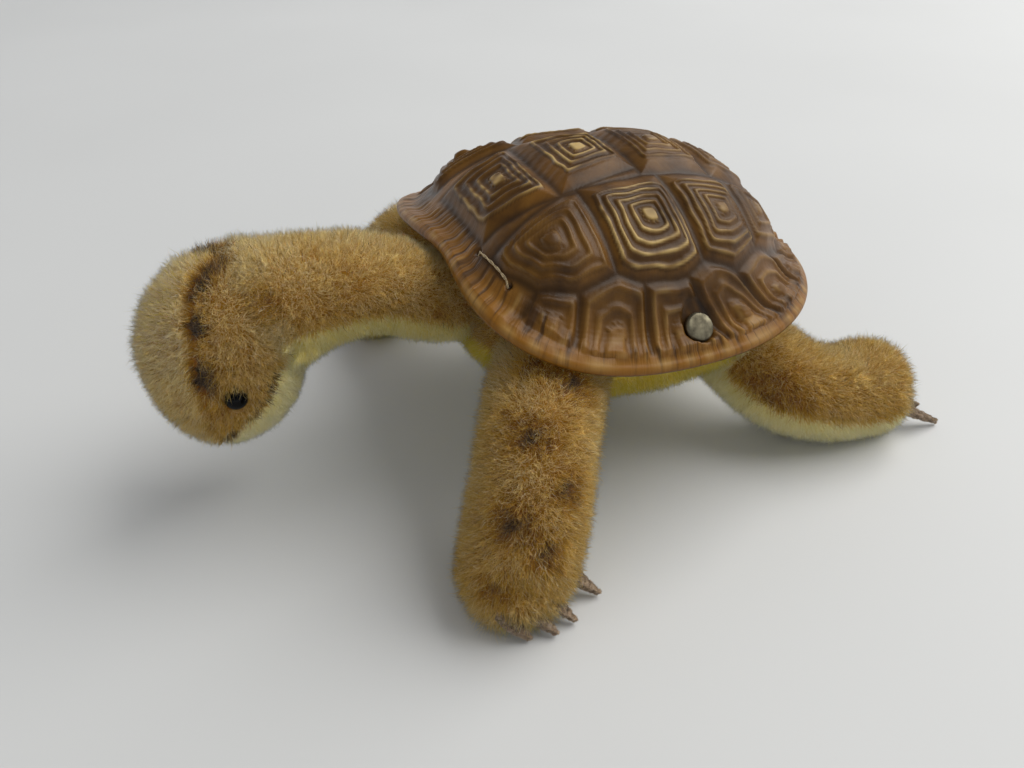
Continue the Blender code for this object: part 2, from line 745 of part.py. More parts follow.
def torso_form():
    length = TORSO_FRONT_REACH + TORSO_REAR_REACH
    line = [
        Vector((0, -TORSO_FRONT_REACH + length * share, TORSO_SEAM_HEIGHT))
        for share in TORSO_station_shares
    ]
    poles = (
        Vector((0, -TORSO_FRONT_REACH, TORSO_SEAM_HEIGHT)),
        Vector((0, TORSO_REAR_REACH, TORSO_SEAM_HEIGHT)),
    )
    side = [TORSO_HALF_WIDTH * share for share in TORSO_swell_shares]
    up = [TORSO_HEIGHT_ABOVE * share for share in TORSO_swell_shares]
    down = [TORSO_DEPTH_BELOW * share for share in TORSO_swell_shares]
    return Form(line, side, up, down, poles, Vector((0, 0, 1)), under_shell=True)


def neck_form():
    rim_reach = SHELL_FRONT_REACH
    rim_under = RIM_FRONT_HEIGHT - LIP_THICKNESS - SEAM_GAP - NECK_RIM_CLEARANCE - NECK_RADIUS
    points = (
        (0, -NECK_ROOT_REACH, NECK_ROOT_HEIGHT),
        (0, -rim_reach, min(rim_under, NECK_BEND_HEIGHT)),
        (0, -NECK_BEND_REACH, NECK_BEND_HEIGHT),
        (0, -NECK_TOP_REACH, NECK_TOP_HEIGHT),
    )
    line = smooth_line(points, len(NECK_swell_shares) - 1)
    reach = [NECK_RADIUS * share for share in NECK_swell_shares]
    along = (line[1] - line[0]).normalized()
    ahead = (line[-1] - line[-2]).normalized()
    poles = (line[0] - along * NECK_RADIUS / 2, line[-1] + ahead * NECK_RADIUS / 2)
    return Form(line, reach, reach, reach, poles, Vector((0, 0, 1)))


def head_form():
    crown = Vector((0, -HEAD_CROWN_REACH, HEAD_CROWN_HEIGHT))
    muzzle = Vector((0, -HEAD_MUZZLE_REACH, HEAD_MUZZLE_HEIGHT))
    line = [crown.lerp(muzzle, share) for share in HEAD_station_shares]
    side = [HEAD_HALF_WIDTH * share for share in HEAD_width_shares]
    front = [HEAD_FRONT_DEPTH * share for share in HEAD_front_shares]
    back = [HEAD_BACK_DEPTH * share for share in HEAD_back_shares]
    seams = (GUSSET_HALF_ANGLE, CHIN_HALF_ANGLE, HEAD_gusset_shares, HEAD_chin_shares)
    return Form(line, side, front, back, (crown, muzzle), Vector((0, -1, 0)), seams=seams)


def leg_form(foot, hip_height, line_shares, radius, toe_angle, swell_shares):
    """A leg whose foot comes down until its sole is this much below the floor."""
    out, along = foot
    points = [Vector((out * a, along * b, hip_height * c)) for a, b, c in line_shares]
    toes = Vector((math.copysign(math.cos(toe_angle), out), math.sin(toe_angle), 0))
    reach = [[radius * share for share in shares] for shares in swell_shares]
    foot_height = radius
    for _ in range(4):
        line = smooth_line(points + [Vector((out, along, foot_height))], len(reach[0]) - 2)
        end, tip = (line[-1] + toes * (radius * share) for share in FOOT_end_shares)
        root = line[0] - (line[1] - line[0]).normalized() * radius / 2
        form = Form(line + [end], reach[0], reach[1], reach[1], (root, tip), Vector((0, 0, 1)))
        foot_height -= form.lowest() + SOLE_FLAT_DEPTH
    return form


def make_floor_cutter(cutters):
    """Everything below the floor, which flattens the soles."""
    bm = bmesh.new()
    size = 4 * (SHELL_FRONT_REACH + SHELL_REAR_REACH)
    depth = CUT_OVERRUN
    block = Matrix.Translation((0, 0, -depth / 2)) @ Matrix.Diagonal((size, size, depth, 1))
    bmesh.ops.create_cube(bm, size=1, matrix=block)
    return hide_cutter(object_from(bm, "floor_cutter", cutters))


def make_torso(form, angles, parts, stitch_holes):
    back = make_panel("back_panel", form, 0, math.pi, TORSO_FACES, parts, tan_mohair())
    make_panel("belly_panel", form, math.pi, 2 * math.pi, TORSO_FACES, parts, yellow_mohair())
    core = make_solid("torso_stuffing", form, CORE_INSET, angles, parts, wood_wool())
    cut(back, stitch_holes)
    cut(core, stitch_holes)


def make_neck(form, parts, clearances):
    """The throat in yellow below, and a tan side on the left and the right, sewn along the top."""
    top, throat = math.pi / 2, NECK_THROAT_HALF_ANGLE
    down = 3 * top
    seams = [(down - throat, 6, down + throat), (down + throat, 5, 5 * top), (top, 5, down - throat)]
    names = ("throat_panel", "neck_panel_left", "neck_panel_right")
    materials = (yellow_mohair(), tan_mohair(), tan_mohair())
    pieces = []
    for name, (start, count, end), material in zip(names, seams, materials):
        pieces.append(make_panel(name, form, start, end, count, parts, material))
    pieces.append(make_solid("neck_stuffing", form, CORE_INSET, angles_between(*seams), parts, wood_wool()))
    for piece in pieces:
        cut(piece, *clearances)


def head_seams():
    """The forehead gusset in front, a cheek on each side, and the chin behind and below."""
    front, gusset, chin = math.pi / 2, GUSSET_HALF_ANGLE, CHIN_HALF_ANGLE
    back = 3 * front
    return [
        (front - gusset, 8, front + gusset), (front + gusset, 4, back - chin),
        (back - chin, 8, back + chin), (back + chin, 4, front - gusset + 2 * math.pi),
    ]


def make_head(form, parts, eye_cutters):
    seams = head_seams()
    names = ("head_gusset", "cheek_panel_right", "chin_panel", "cheek_panel_left")
    materials = (grey_tan_mohair(), tan_mohair(), yellow_mohair(), tan_mohair())
    for name, (start, count, end), material in zip(names, seams, materials):
        panel = make_panel(name, form, start, end, count, parts, material)
        if "cheek" in name:
            cut(panel, *eye_cutters)
    core = make_solid("head_stuffing", form, CORE_INSET, angles_between(*seams), parts, wood_wool())
    cut(core, *eye_cutters)


def eye_seat(form, side):
    """Where the eye's middle lies, and the way that it looks."""
    share = EYE_STATION_share
    stations = HEAD_station_shares
    i = max(k for k in range(len(stations) - 1) if stations[k] <= share)
    t = (share - stations[i]) / (stations[i + 1] - stations[i])
    angle = math.pi / 2 - side * EYE_ANGLE
    point = form.surface(i, angle).lerp(form.surface(i + 1, angle), t)
    outwards = (point - form.line[i].lerp(form.line[i + 1], t)).normalized()
    return point + outwards * EYE_PROUD, outwards


def make_eye_cutter(form, side, word, cutters):
    """The pocket for the eye and its wire, this gap wider than both."""
    place, outwards = eye_seat(form, side)
    radius = EYE_DIAMETER / 2 + SEAM_GAP
    wire = EYE_SHANK_DIAMETER / 2 + SEAM_GAP
    deep = EYE_DIAMETER / 2 + EYE_SHANK_LENGTH + 2 * SEAM_GAP
    neck = math.asin(wire / radius)
    arc = [(math.pi - neck) * k / 8 for k in range(9)]
    profile = [(radius * math.sin(a), radius * math.cos(a)) for a in arc] + [(wire, -deep), (0, -deep)]
    cutter = make_turned("eye_pocket_" + word, profile, cutters, steps=12)
    aim(cutter, place, outwards)
    return hide_cutter(cutter)


def make_eye(form, side, word, parts):
    place, outwards = eye_seat(form, side)
    radius = EYE_DIAMETER / 2
    bm = bmesh.new()
    bmesh.ops.create_uvsphere(bm, u_segments=16, v_segments=9, radius=radius)
    eye = object_from(bm, "eye_" + word, parts, black_glass())
    aim(eye, place, outwards)
    wire = EYE_SHANK_DIAMETER / 2
    start = -radius - SEAM_GAP
    end = start - EYE_SHANK_LENGTH + SEAM_GAP
    profile = ((0, start), (wire, start), (wire, end), (0, end))
    shank = make_turned("eye_shank_" + word, profile, parts, steel_wire(), 8)
    aim(shank, place, outwards)


def make_leg(name, form, parts, cutters, clearances, floor):
    """The upper panel, the yellow sole panel and the stuffing of one leg. It gives the claws' clearance."""
    seam = LEG_SEAM_ANGLE
    seams = [(-seam, 8, math.pi + seam), (math.pi + seam, 6, 2 * math.pi - seam)]
    names, materials = ("_upper_panel", "_sole_panel"), (tan_mohair(), yellow_mohair())
    pieces = []
    for word, (start, count, end), material in zip(names, seams, materials):
        pieces.append(make_panel(name + word, form, start, end, count, parts, material))
        cut(pieces[-1], floor)
    angles = angles_between(*seams)
    pieces.append(make_solid(name + "_stuffing", form, CORE_INSET, angles, parts, wood_wool()))
    for piece in pieces:
        cut(piece, *clearances)
    return hide_cutter(make_solid(name + "_clearance", form, -FORM_CLEARANCE, angles, cutters))


def make_claws(name, shares, foot, radius, parts, clearance):
    for number, (tip, root) in enumerate(shares, start=1):
        side = math.copysign(1, foot[0])
        ends = []
        for (out, behind), height in ((tip, CLAW_TIP_HEIGHT), (root, CLAW_ROOT_HEIGHT)):
            ends.append(Vector((foot[0] + side * out * radius, foot[1] + behind * radius, height)))
        make_claw(f"{name}_claw_{number}", *ends, parts, clearance)


def make_claw(name, tip, root, parts, clearance):
    """A pointed felt strip from its root to its tip, cut off at the foot's cloth."""
    along = tip - root
    across = Vector((0, 0, 1)).cross(along).normalized()
    up = along.cross(across).normalized() * (CLAW_THICKNESS / 2)
    upper = [(share, CLAW_WIDTH * half) for share, half in CLAW_outline_shares]
    outline = upper + [(share, -half) for share, half in reversed(upper)]
    bm = bmesh.new()
    layers = []
    for offset in (up, -up):
        places = [root + along * share + across * half for share, half in outline]
        layers.append([bm.verts.new(place + offset) for place in places])
        bm.faces.new(layers[-1])
    for k in range(len(outline)):
        j = (k + 1) % len(outline)
        bm.faces.new((layers[0][k], layers[0][j], layers[1][j], layers[1][k]))
    claw = object_from(bm, name, parts, claw_felt())
    cut(claw, clearance)


def centre_on_origin(parts, cutters):
    """Moves everything along Y, so that the finished toy's middle is over the origin."""
    bpy.context.view_layer.update()
    graph = bpy.context.evaluated_depsgraph_get()
    ends = []
    for thing in parts.objects:
        solid = thing.evaluated_get(graph)
        ends += [(solid.matrix_world @ point.co).y for point in solid.to_mesh().vertices]
        solid.to_mesh_clear()
    base = bpy.data.objects.new("turtle_base", None)
    parts.objects.link(base)
    for thing in list(parts.objects) + list(cutters.objects):
        if thing != base:
            thing.parent = base
    base.location.y = -(min(ends) + max(ends)) / 2


def main():
    clear_scene()
    parts = new_collection("plush_turtle")
    cutters = new_collection("cutters")

    shell_clearance = make_shell_clearance(cutters)
    floor = make_floor_cutter(cutters)
    stitch_holes = make_stitch_holes(cutters)
    make_carapace(parts, [make_button_cutter(cutters), stitch_holes])
    make_button(parts)
    make_stitch(parts)

    torso, neck, head = torso_form(), neck_form(), head_form()
    torso_angles = angles_between((0, TORSO_FACES, math.pi), (math.pi, TORSO_FACES, 2 * math.pi))
    torso_clearance = make_solid("torso_clearance", torso, -FORM_CLEARANCE, torso_angles, cutters)
    hide_cutter(torso_clearance)
    head_angles = angles_between(*head_seams())
    head_clearance = hide_cutter(make_solid("head_clearance", head, -FORM_CLEARANCE, head_angles, cutters))
    make_torso(torso, torso_angles, parts, stitch_holes)
    make_neck(neck, parts, [torso_clearance, head_clearance, shell_clearance])
    sides = ((1, "left"), (-1, "right"))
    make_head(head, parts, [make_eye_cutter(head, side, word, cutters) for side, word in sides])
    for side, word in sides:
        make_eye(head, side, word, parts)
        foot = (side * FRONT_FOOT_OUT, -FRONT_FOOT_AHEAD)
        swells = (FRONT_side_shares, FRONT_height_shares)
        front = leg_form(foot, FRONT_HIP_HEIGHT, FRONT_line_shares, FRONT_RADIUS, FRONT_TOE_ANGLE, swells)
        clearances = [torso_clearance, shell_clearance]
        leg_clearance = make_leg("front_leg_" + word, front, parts, cutters, clearances, floor)
        make_claws("front_" + word, FRONT_claw_shares, foot, FRONT_RADIUS, parts, leg_clearance)
        foot = (side * HIND_FOOT_OUT, HIND_FOOT_BEHIND)
        swells = (HIND_side_shares, HIND_height_shares)
        hind = leg_form(foot, HIND_HIP_HEIGHT, HIND_line_shares, HIND_RADIUS, HIND_TOE_ANGLE, swells)
        leg_clearance = make_leg("hind_leg_" + word, hind, parts, cutters, [torso_clearance], floor)
        make_claws("hind_" + word, HIND_claw_shares, foot, HIND_RADIUS, parts, leg_clearance)
    centre_on_origin(parts, cutters)


main()
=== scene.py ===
import math

import bmesh
import bpy
import numpy as np
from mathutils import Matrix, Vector
from mathutils.bvhtree import BVHTree


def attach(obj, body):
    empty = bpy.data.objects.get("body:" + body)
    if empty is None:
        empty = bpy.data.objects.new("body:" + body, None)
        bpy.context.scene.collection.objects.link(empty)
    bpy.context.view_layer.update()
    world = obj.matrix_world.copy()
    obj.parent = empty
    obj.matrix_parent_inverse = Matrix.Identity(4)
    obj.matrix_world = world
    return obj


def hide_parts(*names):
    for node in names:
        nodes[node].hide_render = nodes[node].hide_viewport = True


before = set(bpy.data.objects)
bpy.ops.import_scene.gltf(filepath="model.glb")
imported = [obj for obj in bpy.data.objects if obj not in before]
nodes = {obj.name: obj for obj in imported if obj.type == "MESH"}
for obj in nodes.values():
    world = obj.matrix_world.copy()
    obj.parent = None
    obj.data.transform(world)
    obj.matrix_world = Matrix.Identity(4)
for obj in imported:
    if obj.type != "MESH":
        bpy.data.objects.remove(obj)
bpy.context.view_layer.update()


# ---- Torso ----
# The body under the shell: tan mohair above, yellow mohair below, sewn along the sides and stuffed hard.
# The pile is about 3 mm long, dense and a little curled, with pale tips over amber roots. That contrast is partly
# the mohair's own dye and partly painted: painted shade deep in the pile and painted light shining through the
# tips.

PLUSH_VOXEL = 0.0007
CLOTH_GROWTH = 0.0005
SOFTEN_FACTOR, SOFTEN_ROUNDS = 0.5, 4
PILE_LENGTH = 0.0031
PILE_DENSITY = 26e6
SHELL_GAP, SHELL_TAPER = 0.0006, 0.0030
FLOOR_CLEARANCE = 0.00008

# The hairs: their widths, how they clump (size and strength), lean, bend and vary in length
HAIR_WIDTHS = (0.00010, 0.00007)
HAIR_WIDTH_RANGE = (0.7, 1.25)
HAIR_SINK = 0.0002
HAIR_CLUMPS = ((0.0011, 0.16), (0.0045, 0.10))
HAIR_LEAN, HAIR_CURL, HAIR_BEND_PLACE = 0.30, 0.55, 0.58
HAIR_LENGTH_RANGE, HAIR_LENGTH_POWER = (0.45, 1.12), 0.7
SHORTEST_HAIR = 0.12
STRAY_SHARE, STRAY_LENGTH = 0.03, 1.3

# How the dye varies over the cloth (size and share) and from hair to hair. Yellow hairs start part of the
# way along, as their roots aren't dark.
DYE_PATCHES = ((0.012, 0.03), (0.005, 0.02))
DYE_SPREAD, YELLOW_SPREAD = 0.055, 0.018
# Brown hairs: painted shade, dark specks for the gaps between hairs. Pale hairs: painted glints on hair ends
SHADE_SPECK_HAIR_SHARE, GLINT_HAIR_SHARE = 0.020, 0.12
YELLOW_START = 0.45
SEAM_BLEND = 0.0007
SKIN_YELLOW, SKIN_WAY, SKIN_JITTER = 0.94, 0.02, 0.006
DYE_LIMITS = (0.004, 0.996)

# Each dye of the pile: its place along the map, then its root and its tip in sRGB. The darker roots carry some
# painted shade and the paler tips some painted light.
PILE_DYES = (
    (0.00, (22, 17, 12), (52, 42, 32)),
    (0.10, (66, 50, 30), (110, 90, 66)),
    (0.22, (120, 88, 44), (164, 136, 96)),
    (0.34, (136, 82, 6), (232, 186, 62)),
    (0.46, (154, 102, 10), (243, 211, 104)),
    (0.60, (180, 134, 36), (252, 234, 164)),
    (0.74, (198, 164, 80), (255, 250, 210)),
    (0.84, (200, 168, 122), (255, 246, 222)),
    (0.92, (206, 182, 16), (236, 220, 62)),
    (1.00, (244, 234, 168), (255, 253, 228)),
)
BLACK_BROWN, DARK_BROWN, BROWN, AMBER, GOLDEN, TAN, PALE_TAN, GREY_TAN, DEEP_YELLOW, PALE_YELLOW = (
    place for place, _, _ in PILE_DYES
)

# The corner of the map that the pile uses
MAP_SIDE, MAP_EDGE = 0.25, 0.02

# Where the points of a hair lie in the map: across its dye, and along its way from root to tip
HAIR_MAP = ((-0.003, 0.0), (0.003, 0.0), (-0.003, 0.60), (0.003, 0.60), (0.0, 0.98))

# Sockets of a colour mix: the first colour, the second colour and the result
MIX_FIRST, MIX_SECOND, MIX_RESULT = 6, 7, 2


def linear(colour):
    """An sRGB colour of 0 to 255 as linear numbers with alpha."""
    shares = [value / 255 for value in colour]
    return [s / 12.92 if s <= 0.04045 else ((s + 0.055) / 1.055) ** 2.4 for s in shares] + [1.0]


class Look:
    """The nodes of one material, or of the world."""

    def __init__(self, tree):
        self.nodes, self.links = tree.nodes, tree.links

    def plug(self, value, socket):
        """Links another socket to this one, or sets this one to a number, a vector or a colour."""
        if isinstance(value, bpy.types.NodeSocket):
            self.links.new(value, socket)
        else:
            socket.default_value = value

    def set(self, node, **inputs):
        """Plugs each of these inputs, which are named with _ for the spaces."""
        for name, value in inputs.items():
            self.plug(value, node.inputs[name.replace("_", " ")])
        return node

    def add(self, kind, **inputs):
        return self.set(self.nodes.new("ShaderNode" + kind), **inputs)

    def operate(self, kind, operation, *values):
        """A Math or VectorMath node of these links and values."""
        node = self.add(kind)
        node.operation = operation
        for value, socket in zip(values, node.inputs):
            self.plug(value, socket)
        return node.outputs[0]

    def mix(self, factor, first, second):
        node = self.add("Mix")
        node.data_type = "RGBA"
        for value, socket in ((factor, "Factor"), (first, MIX_FIRST), (second, MIX_SECOND)):
            self.plug(value, node.inputs[socket])
        return node.outputs[MIX_RESULT]

    def noise(self, way, scale, detail, distortion=0.0):
        return self.add("TexNoise", Vector=way, Scale=scale, Detail=detail, Distortion=distortion).outputs["Fac"]

    def range(self, value, **ends):
        return self.add("MapRange", Value=value, **ends).outputs["Result"]

    def bump(self, height, strength, distance):
        return self.add("Bump", Height=height, Strength=strength, Distance=distance).outputs["Normal"]

    def ramp(self, factor, stops):
        """Colours in sRGB at these places of the factor."""
        node = self.add("ValToRGB", Fac=factor)
        elements = node.color_ramp.elements
        while len(elements) > 1:
            elements.remove(elements[-1])
        elements[0].position, elements[0].color = stops[0][0], linear(stops[0][1])
        for place, colour in stops[1:]:
            elements.new(place).color = linear(colour)
        return node.outputs["Color"]


def new_material(name, roughness, metallic=0.0):
    material = bpy.data.materials.new(name)
    material.use_nodes = True
    look = Look(material.node_tree)
    shader = look.set(look.nodes["Principled BSDF"], Roughness=roughness, Metallic=metallic)
    return material, look, shader


def speckled_material(name, roughness, metallic, scale, detail, stops):
    """A material whose colour follows fine noise on the object's own coordinates. It gives that noise too."""
    material, look, shader = new_material(name, roughness, metallic)
    noise = look.noise(look.add("TexCoord").outputs["Object"], scale, detail)
    look.set(shader, Base_Color=look.ramp(noise, stops))
    return material, look, shader, noise


def pile_material(name, dyes, roughness, sheen, depth):
    """A hair's dye is read along the map's U, and its way from root to tip along V."""
    material, look, shader = new_material(name, roughness)
    place = look.add("UVMap")
    place.uv_map = "OFBake"
    apart = look.add("SeparateXYZ", Vector=place.outputs["UV"])
    ends = {"From_Min": MAP_EDGE, "From_Max": MAP_EDGE + MAP_SIDE}
    across, along = (look.range(apart.outputs[axis], **ends) for axis in "XY")
    root, tip = (look.ramp(across, [(dye[0], dye[column]) for dye in dyes]) for column in (1, 2))
    look.set(shader, Base_Color=look.mix(along, root, tip), Specular_IOR_Level=0.35)
    look.set(shader, Sheen_Weight=sheen, Sheen_Roughness=0.4)
    look.set(shader, Subsurface_Weight=1.0, Subsurface_Radius=(1.0, 0.88, 0.55), Subsurface_Scale=depth)
    shader.subsurface_method = "BURLEY"
    return material


mohair = pile_material("dyed_mohair", PILE_DYES, roughness=0.58, sheen=0.25, depth=0.0008)


def add_object(name, data):
    thing = bpy.data.objects.new(name, data)
    bpy.context.collection.objects.link(thing)
    return thing


def select_only(thing):
    bpy.ops.object.select_all(action="DESELECT")
    thing.select_set(True)
    bpy.context.view_layer.objects.active = thing


def apply_all(thing):
    select_only(thing)
    for modifier in list(thing.modifiers):
        bpy.ops.object.modifier_apply(modifier=modifier.name)


def gathered(node_names):
    bm = bmesh.new()
    for node in node_names:
        bm.from_mesh(nodes[node].data)
    return bm


def joined_copy(name, node_names):
    """One new object with merged copies of these CAD nodes' meshes."""
    bm = gathered(node_names)
    bmesh.ops.remove_doubles(bm, verts=bm.verts, dist=1e-6)
    mesh = bpy.data.meshes.new(name)
    bm.to_mesh(mesh)
    bm.free()
    return add_object(name, mesh)


def stuffed_form(name, node_names, voxel=PLUSH_VOXEL, growth=CLOTH_GROWTH):
    """The cloth and stuffing of one member as one closed, slightly softened form."""
    form = joined_copy(name, node_names)
    grow = form.modifiers.new("close_seams", "DISPLACE")
    grow.mid_level, grow.strength = 0, growth
    remesh = form.modifiers.new("one_skin", "REMESH")
    remesh.mode = "VOXEL"
    remesh.voxel_size = voxel
    shrink = form.modifiers.new("back_to_cloth", "DISPLACE")
    shrink.mid_level, shrink.strength = 0, -growth
    soften = form.modifiers.new("soften", "SMOOTH")
    soften.factor, soften.iterations = SOFTEN_FACTOR, SOFTEN_ROUNDS
    apply_all(form)
    return form


def read_vectors(items, what, count):
    values = np.empty(len(items) * count)
    items.foreach_get(what, values)
    return values.reshape(-1, count)


def fade(values, start, end):
    """0 at the start, 1 at the end and straight between them."""
    return np.clip((values - start) / (end - start), 0, 1)


def band(away, width, fullness=1.0):
    """1 along the middle of a line, falling to 0 at its edges. More fullness widens the part that is 1."""
    return np.clip(fullness - np.abs(away) / width, 0, 1)


def unit(vectors):
    return vectors / np.maximum(np.linalg.norm(vectors, axis=-1, keepdims=True), 1e-12)


def waves(places, size, seed, count=7):
    """A smooth random vector field of about this wave length, each of its parts within about 1."""
    rng = np.random.default_rng(seed)
    total = np.zeros((len(places), 3))
    for _ in range(count):
        way = unit(rng.normal(size=3)) * 2 * math.pi / (size * rng.uniform(0.7, 1.4))
        wave = np.sin(places @ way + rng.uniform(0, 2 * math.pi))
        total += wave[:, None] * unit(rng.normal(size=3))
    return total * (1.7 / math.sqrt(count))


def tree_of(*node_names):
    bm = gathered(node_names)
    tree = BVHTree.FromBMesh(bm)
    bm.free()
    return tree


def distances(tree, places, most=0.03):
    found = [tree.find_nearest(Vector(place), most)[3] for place in places]
    return np.array([most if value is None else value for value in found])


class Coat:
    """What the pile does at each point of a form: its dye, its length, its lean and how bare the cloth is."""

    def __init__(self, form):
        mesh = form.data
        self.places = read_vectors(mesh.vertices, "co", 3)
        self.normals = read_vectors(mesh.vertices, "normal", 3)
        mesh.calc_loop_triangles()
        self.faces = read_vectors(mesh.loop_triangles, "vertices", 3).astype(int)
        self.dye = np.full(len(self.places), TAN)
        self.yellow = np.zeros(len(self.places))
        self.length = np.ones(len(self.places))
        self.lean = np.zeros((len(self.places), 3))
        self.bare = np.zeros(len(self.places))
        self.yellow_dye = 0.95

    def near(self, place, radius):
        """1 at this place, falling to 0 at this radius."""
        away = np.linalg.norm(self.places - np.array(place), axis=1) / radius
        return np.clip(1 - away, 0, 1) ** 0.7

    def tint(self, share, dye):
        share = np.clip(share, 0, 1)
        self.dye = self.dye * (1 - share) + dye * share

    def keep_off(self, tree, gap=SHELL_GAP, taper=SHELL_TAPER):
        """Shortens the pile where this other surface is close."""
        away = distances(tree, self.places, gap + taper)
        self.length *= np.clip((away - gap) / taper, 0, 1)
        self.bare = np.maximum(self.bare, (away < gap * 1.05) * 1.0)


def grow_pile(form, coat, material, density, length, seed, widths=HAIR_WIDTHS, curl=HAIR_CURL):
    """Gives the form its hairs, each a tapered and bent strip of three triangles, in the same mesh."""
    rng = np.random.default_rng(seed)
    first, second, third = np.moveaxis(coat.places[coat.faces], 1, 0)
    areas = np.linalg.norm(np.cross(second - first, third - first), axis=1) / 2
    count = int(areas.sum() * density)
    face = rng.choice(len(areas), count, p=areas / areas.sum())
    a, b = rng.random((2, count))
    a, b = np.where(a + b > 1, 1 - a, a), np.where(a + b > 1, 1 - b, b)
    share = np.stack([1 - a - b, a, b], 1)
    corner = coat.faces[face]

    def spread(values):
        return np.einsum("ij,ij...->i...", share, values[corner])

    kept = (spread(coat.bare) < rng.uniform(0.2, 0.8, count)) & (spread(coat.length) > SHORTEST_HAIR)
    face, share, corner = face[kept], share[kept], corner[kept]
    count = len(face)
    roots, outward = spread(coat.places), unit(spread(coat.normals))
    clumps = sum(waves(roots, size, seed + k) * strength for k, (size, strength) in enumerate(HAIR_CLUMPS, 1))
    way = unit(outward + spread(coat.lean) + clumps + rng.normal(0, HAIR_LEAN, (count, 3)))
    bend = unit(way + rng.normal(0, curl, (count, 3)))
    long = length * spread(coat.length) * rng.uniform(*HAIR_LENGTH_RANGE, count) ** HAIR_LENGTH_POWER
    long = (long * np.where(rng.random(count) < STRAY_SHARE, STRAY_LENGTH, 1))[:, None]
    side = unit(np.cross(way, rng.normal(size=(count, 3))))
    start = roots - outward * HAIR_SINK
    middle = start + way * (long + HAIR_SINK) * HAIR_BEND_PLACE
    tip = middle + bend * long * (1 - HAIR_BEND_PLACE)
    wide = rng.uniform(*HAIR_WIDTH_RANGE, (count, 1))
    at_root, at_middle = (side * width / 2 * wide for width in widths)
    points = np.stack([start - at_root, start + at_root, middle - at_middle, middle + at_middle, tip], 1)
    points[:, :, 2] = np.maximum(points[:, :, 2], FLOOR_CLEARANCE)

    dye = spread(coat.dye) + rng.normal(0, DYE_SPREAD, count)
    yellow = spread(coat.yellow) > rng.uniform(0.3, 0.7, count)
    dye = np.where(yellow, rng.normal(coat.yellow_dye, YELLOW_SPREAD, count), dye)
    chance = rng.random(count)
    # Brown hairs as painted shade between the hairs, pale hairs as painted glints
    dye = np.where((chance < SHADE_SPECK_HAIR_SHARE) & ~yellow, BROWN * rng.uniform(0.6, 1.1, count), dye)
    dye = np.where((chance > 1 - GLINT_HAIR_SHARE) & ~yellow & (dye > BROWN), PALE_TAN, dye)
    dye = np.clip(dye, *DYE_LIMITS)

    base = len(coat.places)
    first = base + np.arange(count) * 5
    strips = np.array([[0, 1, 3], [0, 3, 2], [2, 3, 4]])
    hair_faces = (first[:, None, None] + strips[None]).reshape(-1, 3)
    skin_dye = np.where(coat.yellow > 0.5, SKIN_YELLOW, coat.dye)
    jitter = np.random.default_rng(seed + 3).uniform(-1, 1, (base, 2)) * SKIN_JITTER
    skin_way = SKIN_WAY + YELLOW_START * (coat.yellow > 0.5) + jitter[:, 1] * 2
    skin_map = np.stack([np.clip(skin_dye + jitter[:, 0], *DYE_LIMITS), skin_way], 1)
    across, along = np.array(HAIR_MAP).T
    hair_way = along + YELLOW_START * yellow[:, None] * (1 - along)
    hair_map = np.stack([dye[:, None] + across, hair_way], 2)
    at = np.concatenate([skin_map, hair_map.reshape(-1, 2)])
    faces = np.concatenate([coat.faces, hair_faces])
    rebuild(form, np.concatenate([coat.places, points.reshape(-1, 3)]), faces, MAP_EDGE + at * MAP_SIDE)
    form.data.polygons.foreach_set("use_smooth", np.arange(len(faces)) < len(coat.faces))
    form.data.materials.append(material)


def rebuild(thing, places, faces, at):
    """Gives the object a new mesh of these points and faces, and the map of each point."""
    mesh = bpy.data.meshes.new(thing.name)
    sides = faces.shape[1]
    mesh.vertices.add(len(places))
    mesh.vertices.foreach_set("co", places.astype(np.float32).ravel())
    mesh.loops.add(faces.size)
    mesh.loops.foreach_set("vertex_index", faces.astype(np.int32).ravel())
    mesh.polygons.add(len(faces))
    mesh.polygons.foreach_set("loop_start", np.arange(0, faces.size, sides, dtype=np.int32))
    mesh.update(calc_edges=True)
    layer = mesh.uv_layers.new(name="OFBake", do_init=False)
    layer.uv.foreach_set("vector", at[faces.ravel()].astype(np.float32).ravel())
    thing.data = mesh


shell_tree = tree_of("carapace")
legs = [f"{end}_leg_{word}" for end in ("front", "hind") for word in ("left", "right")]
yellow_tree = tree_of("belly_panel", "throat_panel", "chin_panel", *(leg + "_sole_panel" for leg in legs))
tan_tree = tree_of(
    "back_panel", "neck_panel_left", "neck_panel_right", "cheek_panel_left", "cheek_panel_right", "head_gusset",
    *(leg + "_upper_panel" for leg in legs),
)


def sew_colours(coat, hidden=0.0):
    """Yellow where the nearest cloth is a yellow panel, but for this width that the tan pile hangs over."""
    apart = distances(tan_tree, coat.places) - distances(yellow_tree, coat.places) - hidden
    coat.yellow = np.clip(0.5 + apart / SEAM_BLEND, 0, 1)
    coat.length *= 1 - 0.15 * coat.yellow


def patches_and_painted_top_light(coat, seed, golden=GOLDEN, pale=PALE_TAN):
    """Golden low on the sides, paler on top as painted light from above, with soft patches of both."""
    # Painted light: the more the cloth faces up, the paler its dye
    height = np.clip(coat.normals[:, 2], -0.4, 1)
    patches = sum(waves(coat.places, size, seed + k)[:, 0] * share for k, (size, share) in enumerate(DYE_PATCHES))
    coat.dye = golden + (pale - golden) * np.clip(0.30 + 0.45 * height, 0, 1) + patches


def finish_plush(thing, node_names):
    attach(thing, "root")
    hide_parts(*node_names)


torso_nodes = ("back_panel", "belly_panel", "torso_stuffing")
torso = stuffed_form("plush_torso", torso_nodes)
coat = Coat(torso)
sew_colours(coat)
patches_and_painted_top_light(coat, 10)
coat.yellow_dye = DEEP_YELLOW
coat.keep_off(shell_tree)
grow_pile(torso, coat, mohair, PILE_DENSITY * 0.7, PILE_LENGTH, 11)
finish_plush(torso, torso_nodes)
